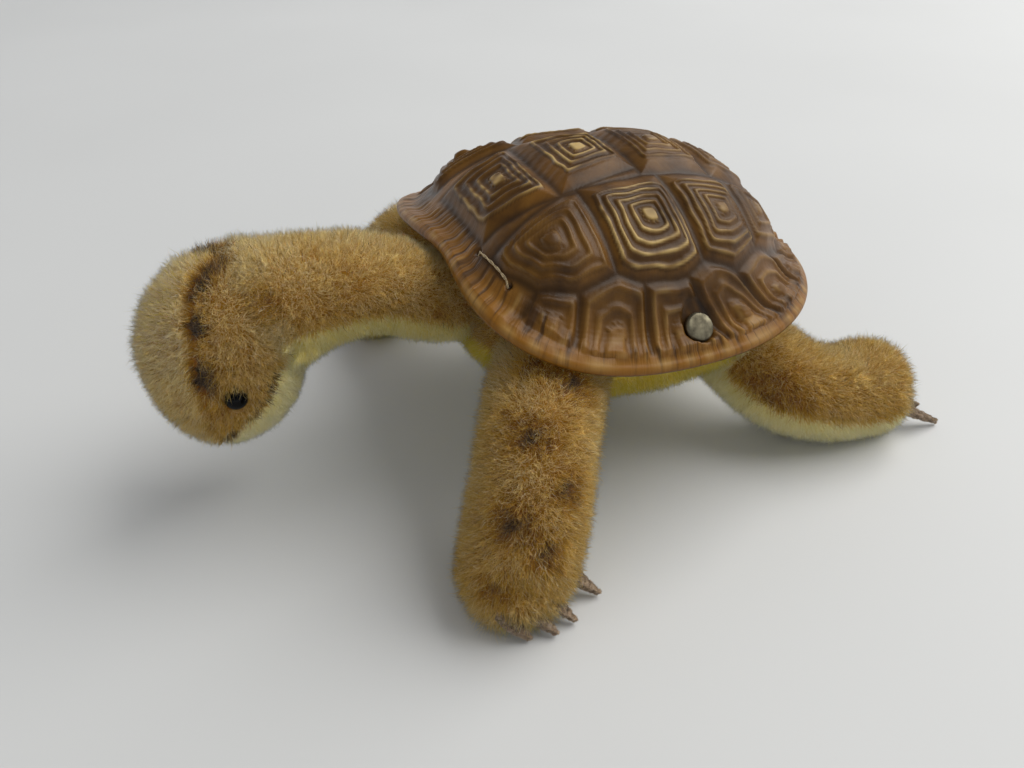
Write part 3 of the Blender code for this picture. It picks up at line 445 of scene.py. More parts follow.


# ---- Neck ----
# A stuffed tube of two tan panels over a yellow throat. Its pile has fine dark specks between the hairs, from
# brown hairs that are painted shade.

# The neck and head coats swell and lean together where the two forms meet, and fill the throat's corner. Their
# dye is paler there: painted light over the shade of the join.
JOIN_REACH, JOIN_SWELL, JOIN_LEAN = 0.0040, 0.0011, np.array([0.55, 0.15])
THROAT_REACH, THROAT_FILL = 0.0075, 0.0022
TEMPLE_RADIUS, TEMPLE_TINT = 0.0042, 0.85

# Brown smudges on each side of the neck: place, radius and strength
NECK_SMUDGES = (
    ((0.0083, -0.0538, 0.0416), TEMPLE_RADIUS, TEMPLE_TINT),
    ((-0.0083, -0.0538, 0.0416), TEMPLE_RADIUS, TEMPLE_TINT),
    ((0.0083, -0.0433, 0.0402), 0.0040, 0.18), ((-0.0083, -0.0440, 0.0402), 0.0040, 0.18),
    ((0.0078, -0.0235, 0.0405), 0.0050, 0.35), ((-0.0078, -0.0235, 0.0405), 0.0050, 0.35),
)
neck_nodes = ("neck_panel_left", "neck_panel_right", "throat_panel", "neck_stuffing")
neck = stuffed_form("plush_neck", neck_nodes)
coat = Coat(neck)
sew_colours(coat)
patches_and_painted_top_light(coat, 20)
coat.yellow_dye = DEEP_YELLOW + 0.05
coat.keep_off(shell_tree)
head_tree = tree_of("cheek_panel_left", "cheek_panel_right", "head_gusset", "chin_panel")
to_head = distances(head_tree, coat.places)
at_head = band(to_head, JOIN_REACH)
coat.places += coat.normals * (at_head ** 2 * JOIN_SWELL)[:, None]
facing_down = np.clip(-coat.normals[:, 2] * 2 - 0.4, 0, 1)
at_throat = band(to_head, THROAT_REACH) * facing_down
coat.places += coat.normals * (at_throat ** 1.5 * THROAT_FILL)[:, None]
coat.lean[:, 1:] -= at_head[:, None] * JOIN_LEAN
# Paler dye at the join: painted light over its shade
coat.tint(at_head * 0.7 * (coat.yellow < 0.5), PALE_TAN)
for place, radius, strength in NECK_SMUDGES:
    coat.tint(coat.near(place, radius) * strength, BROWN)
grow_pile(neck, coat, mohair, PILE_DENSITY * 1.1, PILE_LENGTH * 0.92, 21)
finish_plush(neck, neck_nodes)


# ---- Head ----
# Two tan cheeks, a greyer gusset from the crown to the muzzle and a yellow chin. The pile parts along the
# gusset's seams, which are touched in with dark brown dye, as are the mouth line and the nostrils.

EYE_REACH = 0.0022
EYE_BARE_RADIUS = EYE_REACH * 0.80

# Heights: the chin's fur rises over the jaw from here down, and ends here at the neck
JAW_TOP, JAW_BOTTOM, JAW_OVERLAP = 0.0230, 0.0190, 0.0024
CHIN_TOP, CHIN_FADE = 0.0365, 0.0020
CROWN_START, CROWN_END = 0.0280, 0.0380
SEAM_FOOT, MOUTH_TOP, MUZZLE_TOP = 0.0260, 0.0310, 0.0300
SEAM_FADE, MOUTH_FADE, LID_HEIGHT = 0.0020, 0.0015, 0.0015

# The dark patches along the gusset's seam: the height and the reach of each
SEAM_PATCHES = ((0.0450, 0.0020), (0.0402, 0.0016), (0.0322, 0.0034))

# Bands along the seam, each by its distance from it towards the cheek and its half width, then other widths
DARK_TIPS, PALE_FRINGE, PARTING = (0.0009, 0.0016), (-0.0018, 0.0016), (0.0002, 0.0014)
CREVICE_WIDTH, SHORT_WIDTH, MOUTH_WIDTH, MOUTH_DROP = 0.0006, 0.0007, 0.0008, 0.0005
GRAIN_SIZE, COARSE_SIZE = 0.0020, 0.0050

# Places on the left side, mirrored for the right one
NOSTRIL, NOSTRIL_RADIUS = (0.0079, -0.0657, 0.0210), 0.0016
TEMPLE = (0.0081, -0.0539, 0.0419)
head_nodes = ("head_gusset", "cheek_panel_left", "cheek_panel_right", "chin_panel", "head_stuffing")
head = stuffed_form("plush_head", head_nodes)
coat = Coat(head)
high = coat.places[:, 2]
low_jaw = fade(high, JAW_TOP, JAW_BOTTOM) * JAW_OVERLAP
sew_colours(coat, hidden=-low_jaw)
patches_and_painted_top_light(coat, 30)
coat.yellow_dye = PALE_YELLOW
to_gusset = distances(tree_of("head_gusset"), coat.places)
to_cheeks = distances(tree_of("cheek_panel_left", "cheek_panel_right"), coat.places)
to_chin = distances(tree_of("chin_panel"), coat.places)
coat.yellow *= fade(high, CHIN_TOP, CHIN_TOP - CHIN_FADE)
on_gusset = (to_gusset < to_cheeks) * (coat.yellow < 0.5)
on_crown = fade(high, CROWN_START, CROWN_END)
gusset_top_light = np.clip(coat.normals[:, 2], 0, 1)
# The gusset is greyer, most at the crown; the extra grey where it faces up is painted light from above
coat.tint(on_gusset * (0.35 + 0.45 * on_crown + 0.20 * gusset_top_light), GREY_TAN)
grain = waves(coat.places, GRAIN_SIZE, 31)[:, 0]
coarse = waves(coat.places, COARSE_SIZE, 32)[:, 0]
coat.tint(on_gusset * np.clip(0.4 * coarse - 0.30, 0, 0.3), AMBER)

# The parted seam: a golden crevice, patches of dark tips on its cheek side and a pale fringe on the other.
# A place's distance from the seam is below 0 on the gusset.
from_seam = to_gusset - to_cheeks
above_foot = high > SEAM_FOOT
patches = sum(np.exp(-(((high - level) / reach) ** 2)) for level, reach in SEAM_PATCHES)
dark_side = band(from_seam - DARK_TIPS[0], DARK_TIPS[1], 1.6) * np.clip(patches * 1.2, 0.15, 1)
pale_side = band(from_seam - PALE_FRINGE[0], PALE_FRINGE[1]) * np.clip(0.5 + coarse, 0, 1)
pale_side *= high > SEAM_FOOT - SEAM_FADE
parted = band(from_seam - PARTING[0], PARTING[1], 1.3)
parted *= fade(high, SEAM_FOOT - SEAM_FADE, SEAM_FOOT + SEAM_FADE / 2)
coat.tint(band(from_seam, CREVICE_WIDTH) * above_foot * 0.6, GOLDEN)
coat.tint(dark_side * above_foot * np.clip(1.10 + 0.8 * grain, 0, 1.3), BLACK_BROWN + 0.03)
coat.tint(pale_side * 0.8, PALE_TAN + 0.02)
coat.length *= 1 + 0.12 * pale_side
coat.lean[:, 1] += np.sign(from_seam - PARTING[0]) * parted * 0.75
coat.length *= 1 - 0.30 * band(from_seam, SHORT_WIDTH) * above_foot

# The mouth: a broken black line where the cheeks meet the chin, with the pile parted over it
from_mouth = to_cheeks - to_chin + low_jaw + MOUTH_DROP
mouth = band(from_mouth, MOUTH_WIDTH, 1.4) * fade(high, MOUTH_TOP, MOUTH_TOP - MOUTH_FADE)
mouth *= to_gusset > MOUTH_WIDTH
coat.tint(mouth * np.clip(0.80 + 0.9 * grain, 0, 1) * 1.3, BLACK_BROWN)
coat.yellow *= 1 - np.clip(mouth * 2, 0, 1) * (grain > -0.4)
coat.lean += np.array([0, 1, -0.3]) * (np.sign(from_mouth) * mouth * 0.7)[:, None]
coat.length *= 1 - 0.35 * mouth
coat.length *= np.where(high > MUZZLE_TOP, 1.0, 0.88)

# The meeting with the neck, the nostrils, and the pile that opens round the eyes and hangs over them
to_neck = distances(tree_of("neck_panel_left", "neck_panel_right", "throat_panel"), coat.places)
at_neck = band(to_neck, JOIN_REACH)
coat.places += coat.normals * (at_neck ** 2 * JOIN_SWELL)[:, None]
coat.lean[:, 1:] += at_neck[:, None] * JOIN_LEAN
# Paler dye at the join: painted light over its shade
coat.tint(at_neck * 0.6 * (coat.yellow < 0.5), PALE_TAN)
for side, word in ((1, "left"), (-1, "right")):
    mirror = np.array([side, 1, 1])
    nostril = coat.near(mirror * NOSTRIL, NOSTRIL_RADIUS)
    coat.tint(nostril * 1.3, AMBER - 0.05)
    coat.length *= 1 - 0.35 * nostril
    coat.tint(coat.near(mirror * TEMPLE, TEMPLE_RADIUS) * TEMPLE_TINT, BROWN)
    eye = read_vectors(nodes["eye_" + word].data.vertices, "co", 3).mean(axis=0)
    from_eye = coat.places - eye
    away = np.linalg.norm(from_eye, axis=1)
    close = fade(away, EYE_REACH * 1.7, EYE_REACH * 0.7)
    coat.bare = np.maximum(coat.bare, (away < EYE_BARE_RADIUS) * 1.0)
    above = np.clip(from_eye[:, 2] / LID_HEIGHT, -0.4, 1)
    coat.lean += unit(from_eye) * (close * 0.35 * (above < 0.3))[:, None]
    coat.lean[:, 2] -= close * np.clip(above, 0, 1) * 0.75
    coat.length *= 1 - 0.35 * close * (above < 0.2)
grow_pile(head, coat, mohair, PILE_DENSITY * 1.15, PILE_LENGTH, 32)
finish_plush(head, head_nodes)


# ---- Legs ----
# Four stuffed legs, tan above with brown spots dyed in a row, and yellow below. The soles are flat where
# they stand.

SPOT_STRENGTH, SPOT_MOTTLE = 1.35, 0.0030
LEG_SAG = 0.12
TOE_TOP, TOE_BOTTOM = 0.0090, 0.0020
SOLE_HEIGHT, SOLE_BARE = 0.0016, 0.9

# How far the tan pile hangs over the yellow sole, and the dye of the sole
OVERHANGS = {"front": 0.0030, "hind": -0.0024}
SOLE_DYES = {"front": 0.93, "hind": 0.995}

# The dyed spots of a left leg: place, radius and strength
FRONT_SPOTS = (
    ((0.0318, -0.0169, 0.0349), 0.0040, 0.55), ((0.0355, -0.0125, 0.0331), 0.0038, 0.85),
    ((0.0406, -0.0213, 0.0298), 0.0040, 0.80), ((0.0462, -0.0186, 0.0232), 0.0034, 0.85),
    ((0.0470, -0.0267, 0.0202), 0.0042, 0.80), ((0.0503, -0.0234, 0.0160), 0.0036, 0.80),
    ((0.0491, -0.0305, 0.0096), 0.0034, 0.65),
)
HIND_SPOTS = (
    ((0.0315, 0.0332, 0.0152), 0.0066, 0.32), ((0.0295, 0.0315, 0.0167), 0.0066, 0.32),
    ((0.0335, 0.0365, 0.0134), 0.0052, 0.28), ((0.0335, 0.0466, 0.0161), 0.0013, 0.95),
)
for end, spots, seed in (("front", FRONT_SPOTS, 40), ("hind", HIND_SPOTS, 60)):
    for side, word in ((1, "left"), (-1, "right")):
        leg_nodes = [f"{end}_leg_{word}_{part}" for part in ("upper_panel", "sole_panel", "stuffing")]
        leg = stuffed_form(f"plush_{end}_leg_{word}", leg_nodes)
        coat = Coat(leg)
        sew_colours(coat, hidden=OVERHANGS[end])
        patches_and_painted_top_light(coat, seed, golden=GOLDEN - 0.04, pale=TAN + 0.08)
        coat.yellow_dye = SOLE_DYES[end]
        mottle = np.clip(0.75 + 0.5 * waves(coat.places, SPOT_MOTTLE, seed + 5)[:, 0], 0, 1)
        for (x, y, z), radius, strength in spots:
            spot = coat.near((side * x, y, z), radius)
            coat.tint(spot * strength * mottle * SPOT_STRENGTH, DARK_BROWN)
        coat.keep_off(shell_tree)
        coat.lean[:, 2] -= LEG_SAG
        toes = fade(coat.places[:, 2], TOE_TOP, TOE_BOTTOM) * (coat.yellow < 0.5)
        coat.tint(toes * 0.55, PALE_TAN)
        coat.length *= 1 + 0.22 * toes
        sole = fade(coat.places[:, 2], SOLE_HEIGHT, 0) * (coat.normals[:, 2] < -0.5)
        coat.bare = np.maximum(coat.bare, sole * SOLE_BARE)
        grow_pile(leg, coat, mohair, PILE_DENSITY, PILE_LENGTH, seed + 1 + side)
        finish_plush(leg, leg_nodes)


# ---- Claws ----
# Pointed strips of grey-brown felt, sewn in under the toes: four on a front foot and three on a hind foot.
# The felt is matted, with short loose fibres at its edges.

CLAW_VOXEL, CLAW_GROWTH = 0.00016, 0.0001
CLAW_LUMP_SIZE, CLAW_LUMP_HEIGHT, CLAW_SPECK_SIZE = 0.0011, 0.00008, 0.0004
CLAW_FUZZ, CLAW_FUZZ_DENSITY = 0.00035, 160e6
CLAW_FUZZ_WIDTHS, CLAW_FUZZ_CURL = (0.00005, 0.00004), 0.8
FELT_DYES = (
    (0.00, (84, 72, 60), (116, 102, 88)),
    (0.50, (136, 116, 94), (174, 154, 130)),
    (1.00, (172, 156, 138), (208, 194, 176)),
)
felt = pile_material("grey_brown_felt", FELT_DYES, roughness=0.95, sheen=0.1, depth=0.0001)

for end, count in (("front", 4), ("hind", 3)):
    for side, word in ((1, "left"), (-1, "right")):
        claw_nodes = [f"{end}_{word}_claw_{number}" for number in range(1, count + 1)]
        claws = stuffed_form(f"felt_claws_{end}_{word}", claw_nodes, CLAW_VOXEL, CLAW_GROWTH)
        coat = Coat(claws)
        worn = waves(coat.places, CLAW_LUMP_SIZE, 80 + side)[:, 0]
        coat.places += coat.normals * worn[:, None] * CLAW_LUMP_HEIGHT
        specks = waves(coat.places, CLAW_SPECK_SIZE, 82)[:, 0]
        coat.dye = np.clip(0.5 + 0.22 * worn + specks * 0.12, 0.05, 0.95)
        grow_pile(claws, coat, felt, CLAW_FUZZ_DENSITY, CLAW_FUZZ, 83 + side, CLAW_FUZZ_WIDTHS, CLAW_FUZZ_CURL)
        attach(claws, "root")
        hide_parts(*claw_nodes)


# ---- Eyes ----
# Black bean-shaped beads on wire shanks, pressed into the sides of the head. Hard gloss with faint
# dust.

bead, look, shader, _ = speckled_material(
    "black_gloss_bead", 0.09, 0.0, 900, 4, [(0.45, (3, 3, 3)), (0.75, (12, 10, 9))]
)
look.set(shader, Specular_IOR_Level=0.10)
wire = speckled_material(
    "drawn_steel_wire", 0.35, 1.0, 1500, 2, [(0.3, (120, 118, 114)), (0.7, (178, 176, 172))]
)[0]

for word in ("left", "right"):
    eye = joined_copy("bead_eye_" + word, ["eye_" + word])
    rounder = eye.modifiers.new("rounder", "SUBSURF")
    rounder.levels = rounder.render_levels = 2
    apply_all(eye)
    bpy.ops.object.shade_smooth()
    eye.data.materials.append(bead)
    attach(eye, "root")
    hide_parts("eye_" + word)
    nodes["eye_shank_" + word].material_slots[0].material = wire


# ---- Shell ----
# One moulding of brown rubber: scutes ringed with growth ridges, soft valleys between them, a gutter with radial
# wrinkles along the front and a rounded lip. The highest ridges are rubbed to cream. Painted shade darkens the
# valleys, grooves, holes, creases and undersides, and the thin rim has a painted amber glow of light through it.

SHELL_SHIFT = 0.010560
HALF_WIDTH, FRONT_REACH, REAR_REACH, TOP_HEIGHT = 0.0370, 0.0353, 0.0395, 0.0554
FRONT_RIM, SIDE_RIM, REAR_RIM = 0.0437, 0.0335, 0.0326
FRONT_POWER, REAR_POWER = 4.5, 2.1
FRONT_RISE_POWER, REAR_DROP_POWER = 2.1, 1.4
NOTCH_ANGLE, NOTCH_SPREAD, NOTCH_SHARE, NOTCH_ARCH = math.radians(-82), math.radians(18), 0.042, 0.0015
DROOP_ANGLE, DROOP_SPREAD, DROOP_DEPTH = math.radians(-128), math.radians(19), 0.0026
BRIM_START, BRIM_RISE, DOME_POWER, DOME_ROUNDING = 0.84, 0.12, 2.2, 0.7
BEND_EASE = 0.055
WALL, LIP_RADIUS, LIP_SHARE = 0.0018, 0.0011, 0.965


def near_angle(angle, middle, spread):
    return np.exp(-(((np.remainder(angle - middle + math.pi, 2 * math.pi) - math.pi) / spread) ** 2))


def rim_radius(angle):
    across, along = np.cos(angle), np.sin(angle)
    reach = np.where(along < 0, FRONT_REACH, REAR_REACH)
    power = np.where(along < 0, FRONT_POWER, REAR_POWER)
    oval = (np.abs(across / HALF_WIDTH) ** power + np.abs(along / reach) ** power) ** (-1 / power)
    return oval * (1 - NOTCH_SHARE * near_angle(angle, NOTCH_ANGLE, NOTCH_SPREAD))


def rim_height(angle):
    along = rim_radius(angle) * np.sin(angle)
    front = SIDE_RIM + (FRONT_RIM - SIDE_RIM) * (np.maximum(-along, 0) / FRONT_REACH) ** FRONT_RISE_POWER
    front += NOTCH_ARCH * near_angle(angle, NOTCH_ANGLE, NOTCH_SPREAD)
    front -= DROOP_DEPTH * near_angle(angle, DROOP_ANGLE, DROOP_SPREAD)
    rear = SIDE_RIM + (REAR_RIM - SIDE_RIM) * (np.maximum(along, 0) / REAR_REACH) ** REAR_DROP_POWER
    return np.where(along < 0, front, rear)


def dome_share(share):
    brim = BRIM_RISE * np.maximum(0, (1 - share) / (1 - BRIM_START))
    rounding = np.maximum(0, 1 - (np.minimum(share, BRIM_START) / BRIM_START) ** DOME_POWER) ** DOME_ROUNDING
    return np.where(share > BRIM_START, brim, BRIM_RISE + (1 - BRIM_RISE) * rounding)


def soft_dome_share(share):
    """The dome's profile with the bend above the brim eased."""
    ease = BEND_EASE * fade(share, 0.97, 0.92) * fade(share, 0.5, 0.7)
    steps = [dome_share(share + ease * k / 3) for k in range(-3, 4)]
    return sum(steps) / len(steps)


def dome(x, y):
    angle = np.arctan2(y, x)
    rim = rim_height(angle)
    return rim + (TOP_HEIGHT - rim) * soft_dome_share(np.minimum(1, np.hypot(x, y) / rim_radius(angle)))


# Scute corners on the left half, in millimetres in plan from the shell's middle
SPINE = (
    (10.6, -28.6), (12.2, -15.0), (11.6, -12.4), (10.8, 0.5), (11.0, 3.2), (10.5, 15.0), (10.6, 16.6),
    (9.0, 26.5), (8.0, 32.0),
)
FLANK = (
    (19.5, -28.4), (25.4, -25.0), (27.6, -18.6), (26.2, -11.6), (27.4, -7.0), (27.5, 1.0), (26.0, 4.6),
    (26.6, 11.0), (24.6, 14.6), (22.5, 18.0), (21.0, 22.5), (16.5, 28.5),
)
# Where the border that starts at each of these corners meets the lip, in degrees
LIP_ANGLES = {1: -46, 2: -33, 4: -14.5, 5: 9.5, 7: 31, 10: 51, 11: 66}
TAIL_ANGLE = 79


def on_lip(degrees, side):
    angle = math.radians(degrees)
    reach = LIP_SHARE * float(rim_radius(angle)) * 1000
    return side * reach * math.cos(angle), reach * math.sin(angle)


def scute(corners, centre, rings, wear, start=0.16, margin=0.0, open_edge=None, knob=0.0):
    """A plate: its corners, the middle of its rings, their number, how rubbed they are, where the first starts,
    how far the rings stay off its two spine edges, its edge at the lip and the height of its knob."""
    return corners, centre, rings, wear, start, margin, open_edge, knob


def scutes():
    """All the plates: down the spine, then on each side the flank and the row along the lip, and the tail."""
    plates = []
    for first, last, centre, rings, wear, start in (
        (0, 1, (0, -20.8), 4, 0.80, 0.20), (1, 3, (0, -6.0), 4, 1.0, 0.30), (3, 5, (0, 8.0), 4, 0.45, 0.26),
        (5, 7, (0, 20.5), 3, 0.30, 0.24),
    ):
        right = [(-x, y) for x, y in SPINE[first:last + 1]][::-1]
        plates.append(scute(list(SPINE[first:last + 1]) + right, centre, rings, wear, start))
    tail = [SPINE[7], FLANK[11], SPINE[8]]
    plates.append(scute(tail + [(-x, y) for x, y in tail[::-1]], (0, 30.0), 2, 0.3))
    for side in (1, -1):
        spine = [(side * x, y) for x, y in SPINE]
        flank = [(side * x, y) for x, y in FLANK]
        for corners, (across, along), *rest in (
            ([spine[0], *flank[0:4], spine[2], spine[1]], (20.6, -20.6), 4, 0.22, 0.12, 0.9, None, 0.5),
            ([spine[2], *flank[3:7], spine[4], spine[3]], (19.3, -2.6), 5, 1.0, 0.10, 1.9),
            ([spine[4], *flank[6:10], spine[6], spine[5]], (18.8, 11.6), 5, 0.60, 0.10, 1.9),
            ([spine[6], *flank[9:12], spine[7]], (15.0, 21.8), 3, 0.35, 0.18),
        ):
            plates.append(scute(corners, (side * across, along), *rest))
        for first, last, rings, wear, knob in (
            (1, 2, 2, 0.20, 0.0), (2, 4, 3, 0.30, 0.0), (4, 5, 3, 0.40, 0.0), (5, 7, 3, 0.35, 0.75),
            (7, 10, 3, 0.30, 0.3), (10, 11, 2, 0.3, 0.0),
        ):
            inner = flank[first:last + 1]
            corners = inner + [on_lip(LIP_ANGLES[last], side), on_lip(LIP_ANGLES[first], side)]
            far = np.mean(corners[-2:], axis=0)
            centre = tuple(np.mean(inner, axis=0) * 0.34 + far * 0.66)
            plates.append(scute(corners, centre, rings, wear, 0.06, open_edge=len(inner), knob=knob))
        corners = [flank[11], spine[8], on_lip(TAIL_ANGLE, side), on_lip(LIP_ANGLES[11], side)]
        plates.append(scute(corners, tuple(np.mean(corners, axis=0)), 2, 0.3, 0.06, open_edge=2))
    tail = [(-SPINE[8][0], SPINE[8][1]), SPINE[8], on_lip(TAIL_ANGLE, 1), on_lip(TAIL_ANGLE, -1)]
    plates.append(scute(tail, (0, 34.5), 2, 0.3, 0.06, open_edge=2))
    return plates


RING_SHARPNESS, RING_SHAKE, RING_END = 48.0, 0.012, 0.96
RING_PLACE, RING_WIDTH, RING_MIDDLE = 0.42, 0.21, 0.72
GROOVE_WIDTH, KNOB_RADIUS = 0.70, 1.35

# In mm, for the large plates and for those along the lip: the edge's width, the rise and the ridges' height
LARGE_FORM, LIP_FORM = (3.0, 0.80, 0.38), (1.4, 0.40, 0.46)
MIDDLE_RISE = 0.30


def relief(x, y, shake):
    """In mm, the height above the dome at these plan points, and shares of wear, ridge, valley shade and dirt,
    and groove.
    """
    best = np.full(x.shape, -1e9)
    edge_best, height, wear, ridges, valley_shade_and_dirt = (np.zeros(x.shape) for _ in range(5))
    for corners, centre, rings, rubbing, start, margin, open_edge, knob in scutes():
        large = open_edge is None
        inside, edge = np.full(x.shape, 1e9), np.full(x.shape, 1e9)
        parts = []
        turn = sum(a[0] * b[1] - b[0] * a[1] for a, b in zip(corners, corners[1:] + corners[:1]))
        for number, (a, b) in enumerate(zip(corners, corners[1:] + corners[:1])):
            size = math.dist(a, b)
            nx, ny = -(b[1] - a[1]) / size, (b[0] - a[0]) / size
            if turn < 0:
                nx, ny = -nx, -ny
            away = (x - a[0]) * nx + (y - a[1]) * ny
            inside = np.minimum(inside, away)
            if number == open_edge:
                continue
            edge = np.minimum(edge, away)
            off = margin * (number >= len(corners) - 2)
            reach = max((centre[0] - a[0]) * nx + (centre[1] - a[1]) * ny - off, 0.6)
            parts.append((away - off) / reach)
        nearest = sum(np.exp(-RING_SHARPNESS * np.clip(part, -0.3, 3)) for part in parts)
        ring = -np.log(nearest) / RING_SHARPNESS
        edge = np.clip(edge, 0, None)
        phase = fade(ring + shake * RING_SHAKE, start, RING_END) * rings
        part = phase - np.floor(phase)
        wave = np.exp(-(((part - RING_PLACE) / RING_WIDTH) ** 2)) * (phase > 0)
        middle = rings - RING_MIDDLE
        wave = np.where(phase > middle, fade(phase, middle, middle + 0.22), wave)
        width, rise, ridge = LARGE_FORM if large else LIP_FORM
        swell = np.clip(edge / width, 0, 1)
        lift = rise * swell * swell * (3 - 2 * swell) + wave * ridge
        lift += MIDDLE_RISE * np.clip(ring, 0, 1) * large
        if knob:
            from_knob = np.hypot(x - centre[0], y - centre[1])
            lift += np.exp(-((from_knob / KNOB_RADIUS) ** 4)) * knob
            wave = np.where(from_knob < 1.1, np.minimum(wave, 0.45), wave)
        mine = inside > best
        height = np.where(mine, lift, height)
        wear = np.where(mine, rubbing, wear)
        ridges = np.where(mine, wave, ridges)
        # Between the ridges: painted shade with some dirt, stronger on rubbed plates
        valley_shade_and_dirt = np.where(mine, (phase > 0.1) * (1 - wave) * (0.35 + 0.5 * rubbing), valley_shade_and_dirt)
        edge_best = np.where(mine, edge, edge_best)
        best = np.maximum(best, inside)
    groove = np.exp(-((np.where(best > 0, edge_best, np.abs(best)) / GROOVE_WIDTH) ** 2))
    return height * (best >= 0), wear, ridges, valley_shade_and_dirt * (best > 0), groove


TOP_ROWS, LIP_ROWS, UNDER_ROWS, COLUMNS = 160, 9, 10, 544
TOP_START, TOP_END, TOP_SPACING = 0.010, 0.962, 0.94
UNDER_SHARES = np.linspace(0.95, 0.03, UNDER_ROWS)
GUTTER_DEPTH, GUTTER_SHARE, GUTTER_WIDTH = 0.00035, 0.915, 0.035
GROOVE_DEPTH, GRAIN_HEIGHT, WRINKLE_HEIGHT = 0.00012, 0.00002, 0.00010
HOLE_RADIUS, HOLE_DEPTH = 0.00055, 0.0008
SEAT_RADIUS, SEAT_EDGE = 0.0030, 0.0004
SLOPE_STEP = 0.0004

# Where the brim and its wrinkles start and are full, as shares of the radius, and how much sooner at the front
BRIM_ENDS, BRIM_SOONER, WRINKLE_ENDS, WRINKLES_SOONER = (0.942, 0.966), 0.04, (0.905, 0.935), 0.075

# As in part.py, in shares of the half width and of the front or the rear reach
HOLE_SHARES, BUTTON_SHARES = ((0.31, -0.835), (0.60, -0.80)), (0.865, 0.02)

# The sizes of the noise, and how far the rings wander in mm
SHELL_GRAIN, SHELL_PATCH, SHAKE_SIZE, WANDER_SIZE, WANDER = 0.0017, 0.0070, 0.0040, 0.0060, 0.09
angles = np.arange(COLUMNS) * 2 * math.pi / COLUMNS
rim, rim_up = rim_radius(angles), rim_height(angles)
shares = np.linspace(TOP_START, TOP_END, TOP_ROWS) ** TOP_SPACING
shares = shares / shares[-1] * TOP_END
out = shares[:, None] * rim[None]
x, y = out * np.cos(angles), out * np.sin(angles)
share = np.broadcast_to(shares[:, None], x.shape)
angle = np.broadcast_to(angles[None], x.shape)


def field(size, seed):
    return waves(np.stack([x, y, x * 0], -1).reshape(-1, 3), size, seed)[:, 0].reshape(x.shape)


grain, broad, shake = field(SHELL_GRAIN, 90), field(SHELL_PATCH, 91), field(SHAKE_SIZE, 92)
wander = WANDER * np.stack([field(WANDER_SIZE, 93), field(WANDER_SIZE, 94)])
height, wear, ridges, valley_shade_and_dirt, groove = relief(x * 1000 + wander[0], y * 1000 + wander[1], shake)
front = fade(-y / FRONT_REACH, 0.55, 0.75)
on_brim = fade(share + BRIM_SOONER * front, *BRIM_ENDS)
wrinkled = fade(share + WRINKLES_SOONER * front, *WRINKLE_ENDS)
wrinkle = np.sin(angle * 97 + 6 * np.sin(angle * 7) + 2.4 * broad) * (0.6 + 0.4 * np.sin(angle * 31 + 2))
lift = (height / 1000 - groove * GROOVE_DEPTH) * (1 - on_brim) + grain * GRAIN_HEIGHT
lift -= GUTTER_DEPTH * front * np.exp(-(((share - GUTTER_SHARE) / GUTTER_WIDTH) ** 2))
lift += wrinkle * WRINKLE_HEIGHT * wrinkled

holes = [(across * HALF_WIDTH, out * FRONT_REACH) for across, out in HOLE_SHARES]
pit = np.zeros(x.shape)
for hx, hy in holes:
    pit = np.maximum(pit, np.exp(-((np.hypot(x - hx, y - hy) / HOLE_RADIUS) ** 4)))
button_x, button_y = BUTTON_SHARES[0] * HALF_WIDTH, BUTTON_SHARES[1] * REAR_REACH
seat = fade(np.hypot(x - button_x, y - button_y), SEAT_RADIUS, SEAT_RADIUS - SEAT_EDGE)
lift = lift * (1 - seat) - pit * HOLE_DEPTH
slope_x = (dome(x + SLOPE_STEP, y) - dome(x - SLOPE_STEP, y)) / (2 * SLOPE_STEP)
slope_y = (dome(x, y + SLOPE_STEP) - dome(x, y - SLOPE_STEP)) / (2 * SLOPE_STEP)
normal = unit(np.stack([-slope_x, -slope_y, np.ones_like(x)], -1))
top = np.stack([x, y, dome(x, y)], -1) + normal * lift[..., None]

# What the material reads at each point: rubbed, painted shade with some dirt, painted glow through thin rubber,
# and creased
patchy = np.clip(0.58 + 0.80 * broad + 0.35 * grain, 0.05, 1.25)
rubbed = np.clip(ridges - 0.35, 0, 1) * 1.35 * wear ** 1.4 * patchy
rubbed = np.maximum(rubbed, wrinkled * np.clip(0.6 * wrinkle + 0.4 * grain - 0.35, 0, 1) * 0.35)
rubbed = np.clip(rubbed, 0, 1) * (1 - groove) * (1 - seat)
# Painted shade: grooves, stitch holes, round the button's seat, wrinkle troughs; between ridges shade and dirt
painted_shade_and_dirt = np.maximum(np.maximum(groove * 0.72 * (1 - on_brim), pit), valley_shade_and_dirt * 0.60)
painted_shade_and_dirt = np.clip(painted_shade_and_dirt + seat * 0.4 + np.clip(-wrinkle - 0.3, 0, 1) * wrinkled * 0.3, 0, 1)
# Painted amber glow of light shining through the rubber where it thins towards the rim
thin_rubber_glow = np.clip(0.05 + 0.85 * fade(share, 0.80, 0.98) + 0.30 * broad, 0, 1)
creased = np.maximum(wrinkled, 0.12)


def round_the_rim(reach, up):
    """A ring of points at this reach and height."""
    return np.stack([reach * np.cos(angles), reach * np.sin(angles), up], -1)


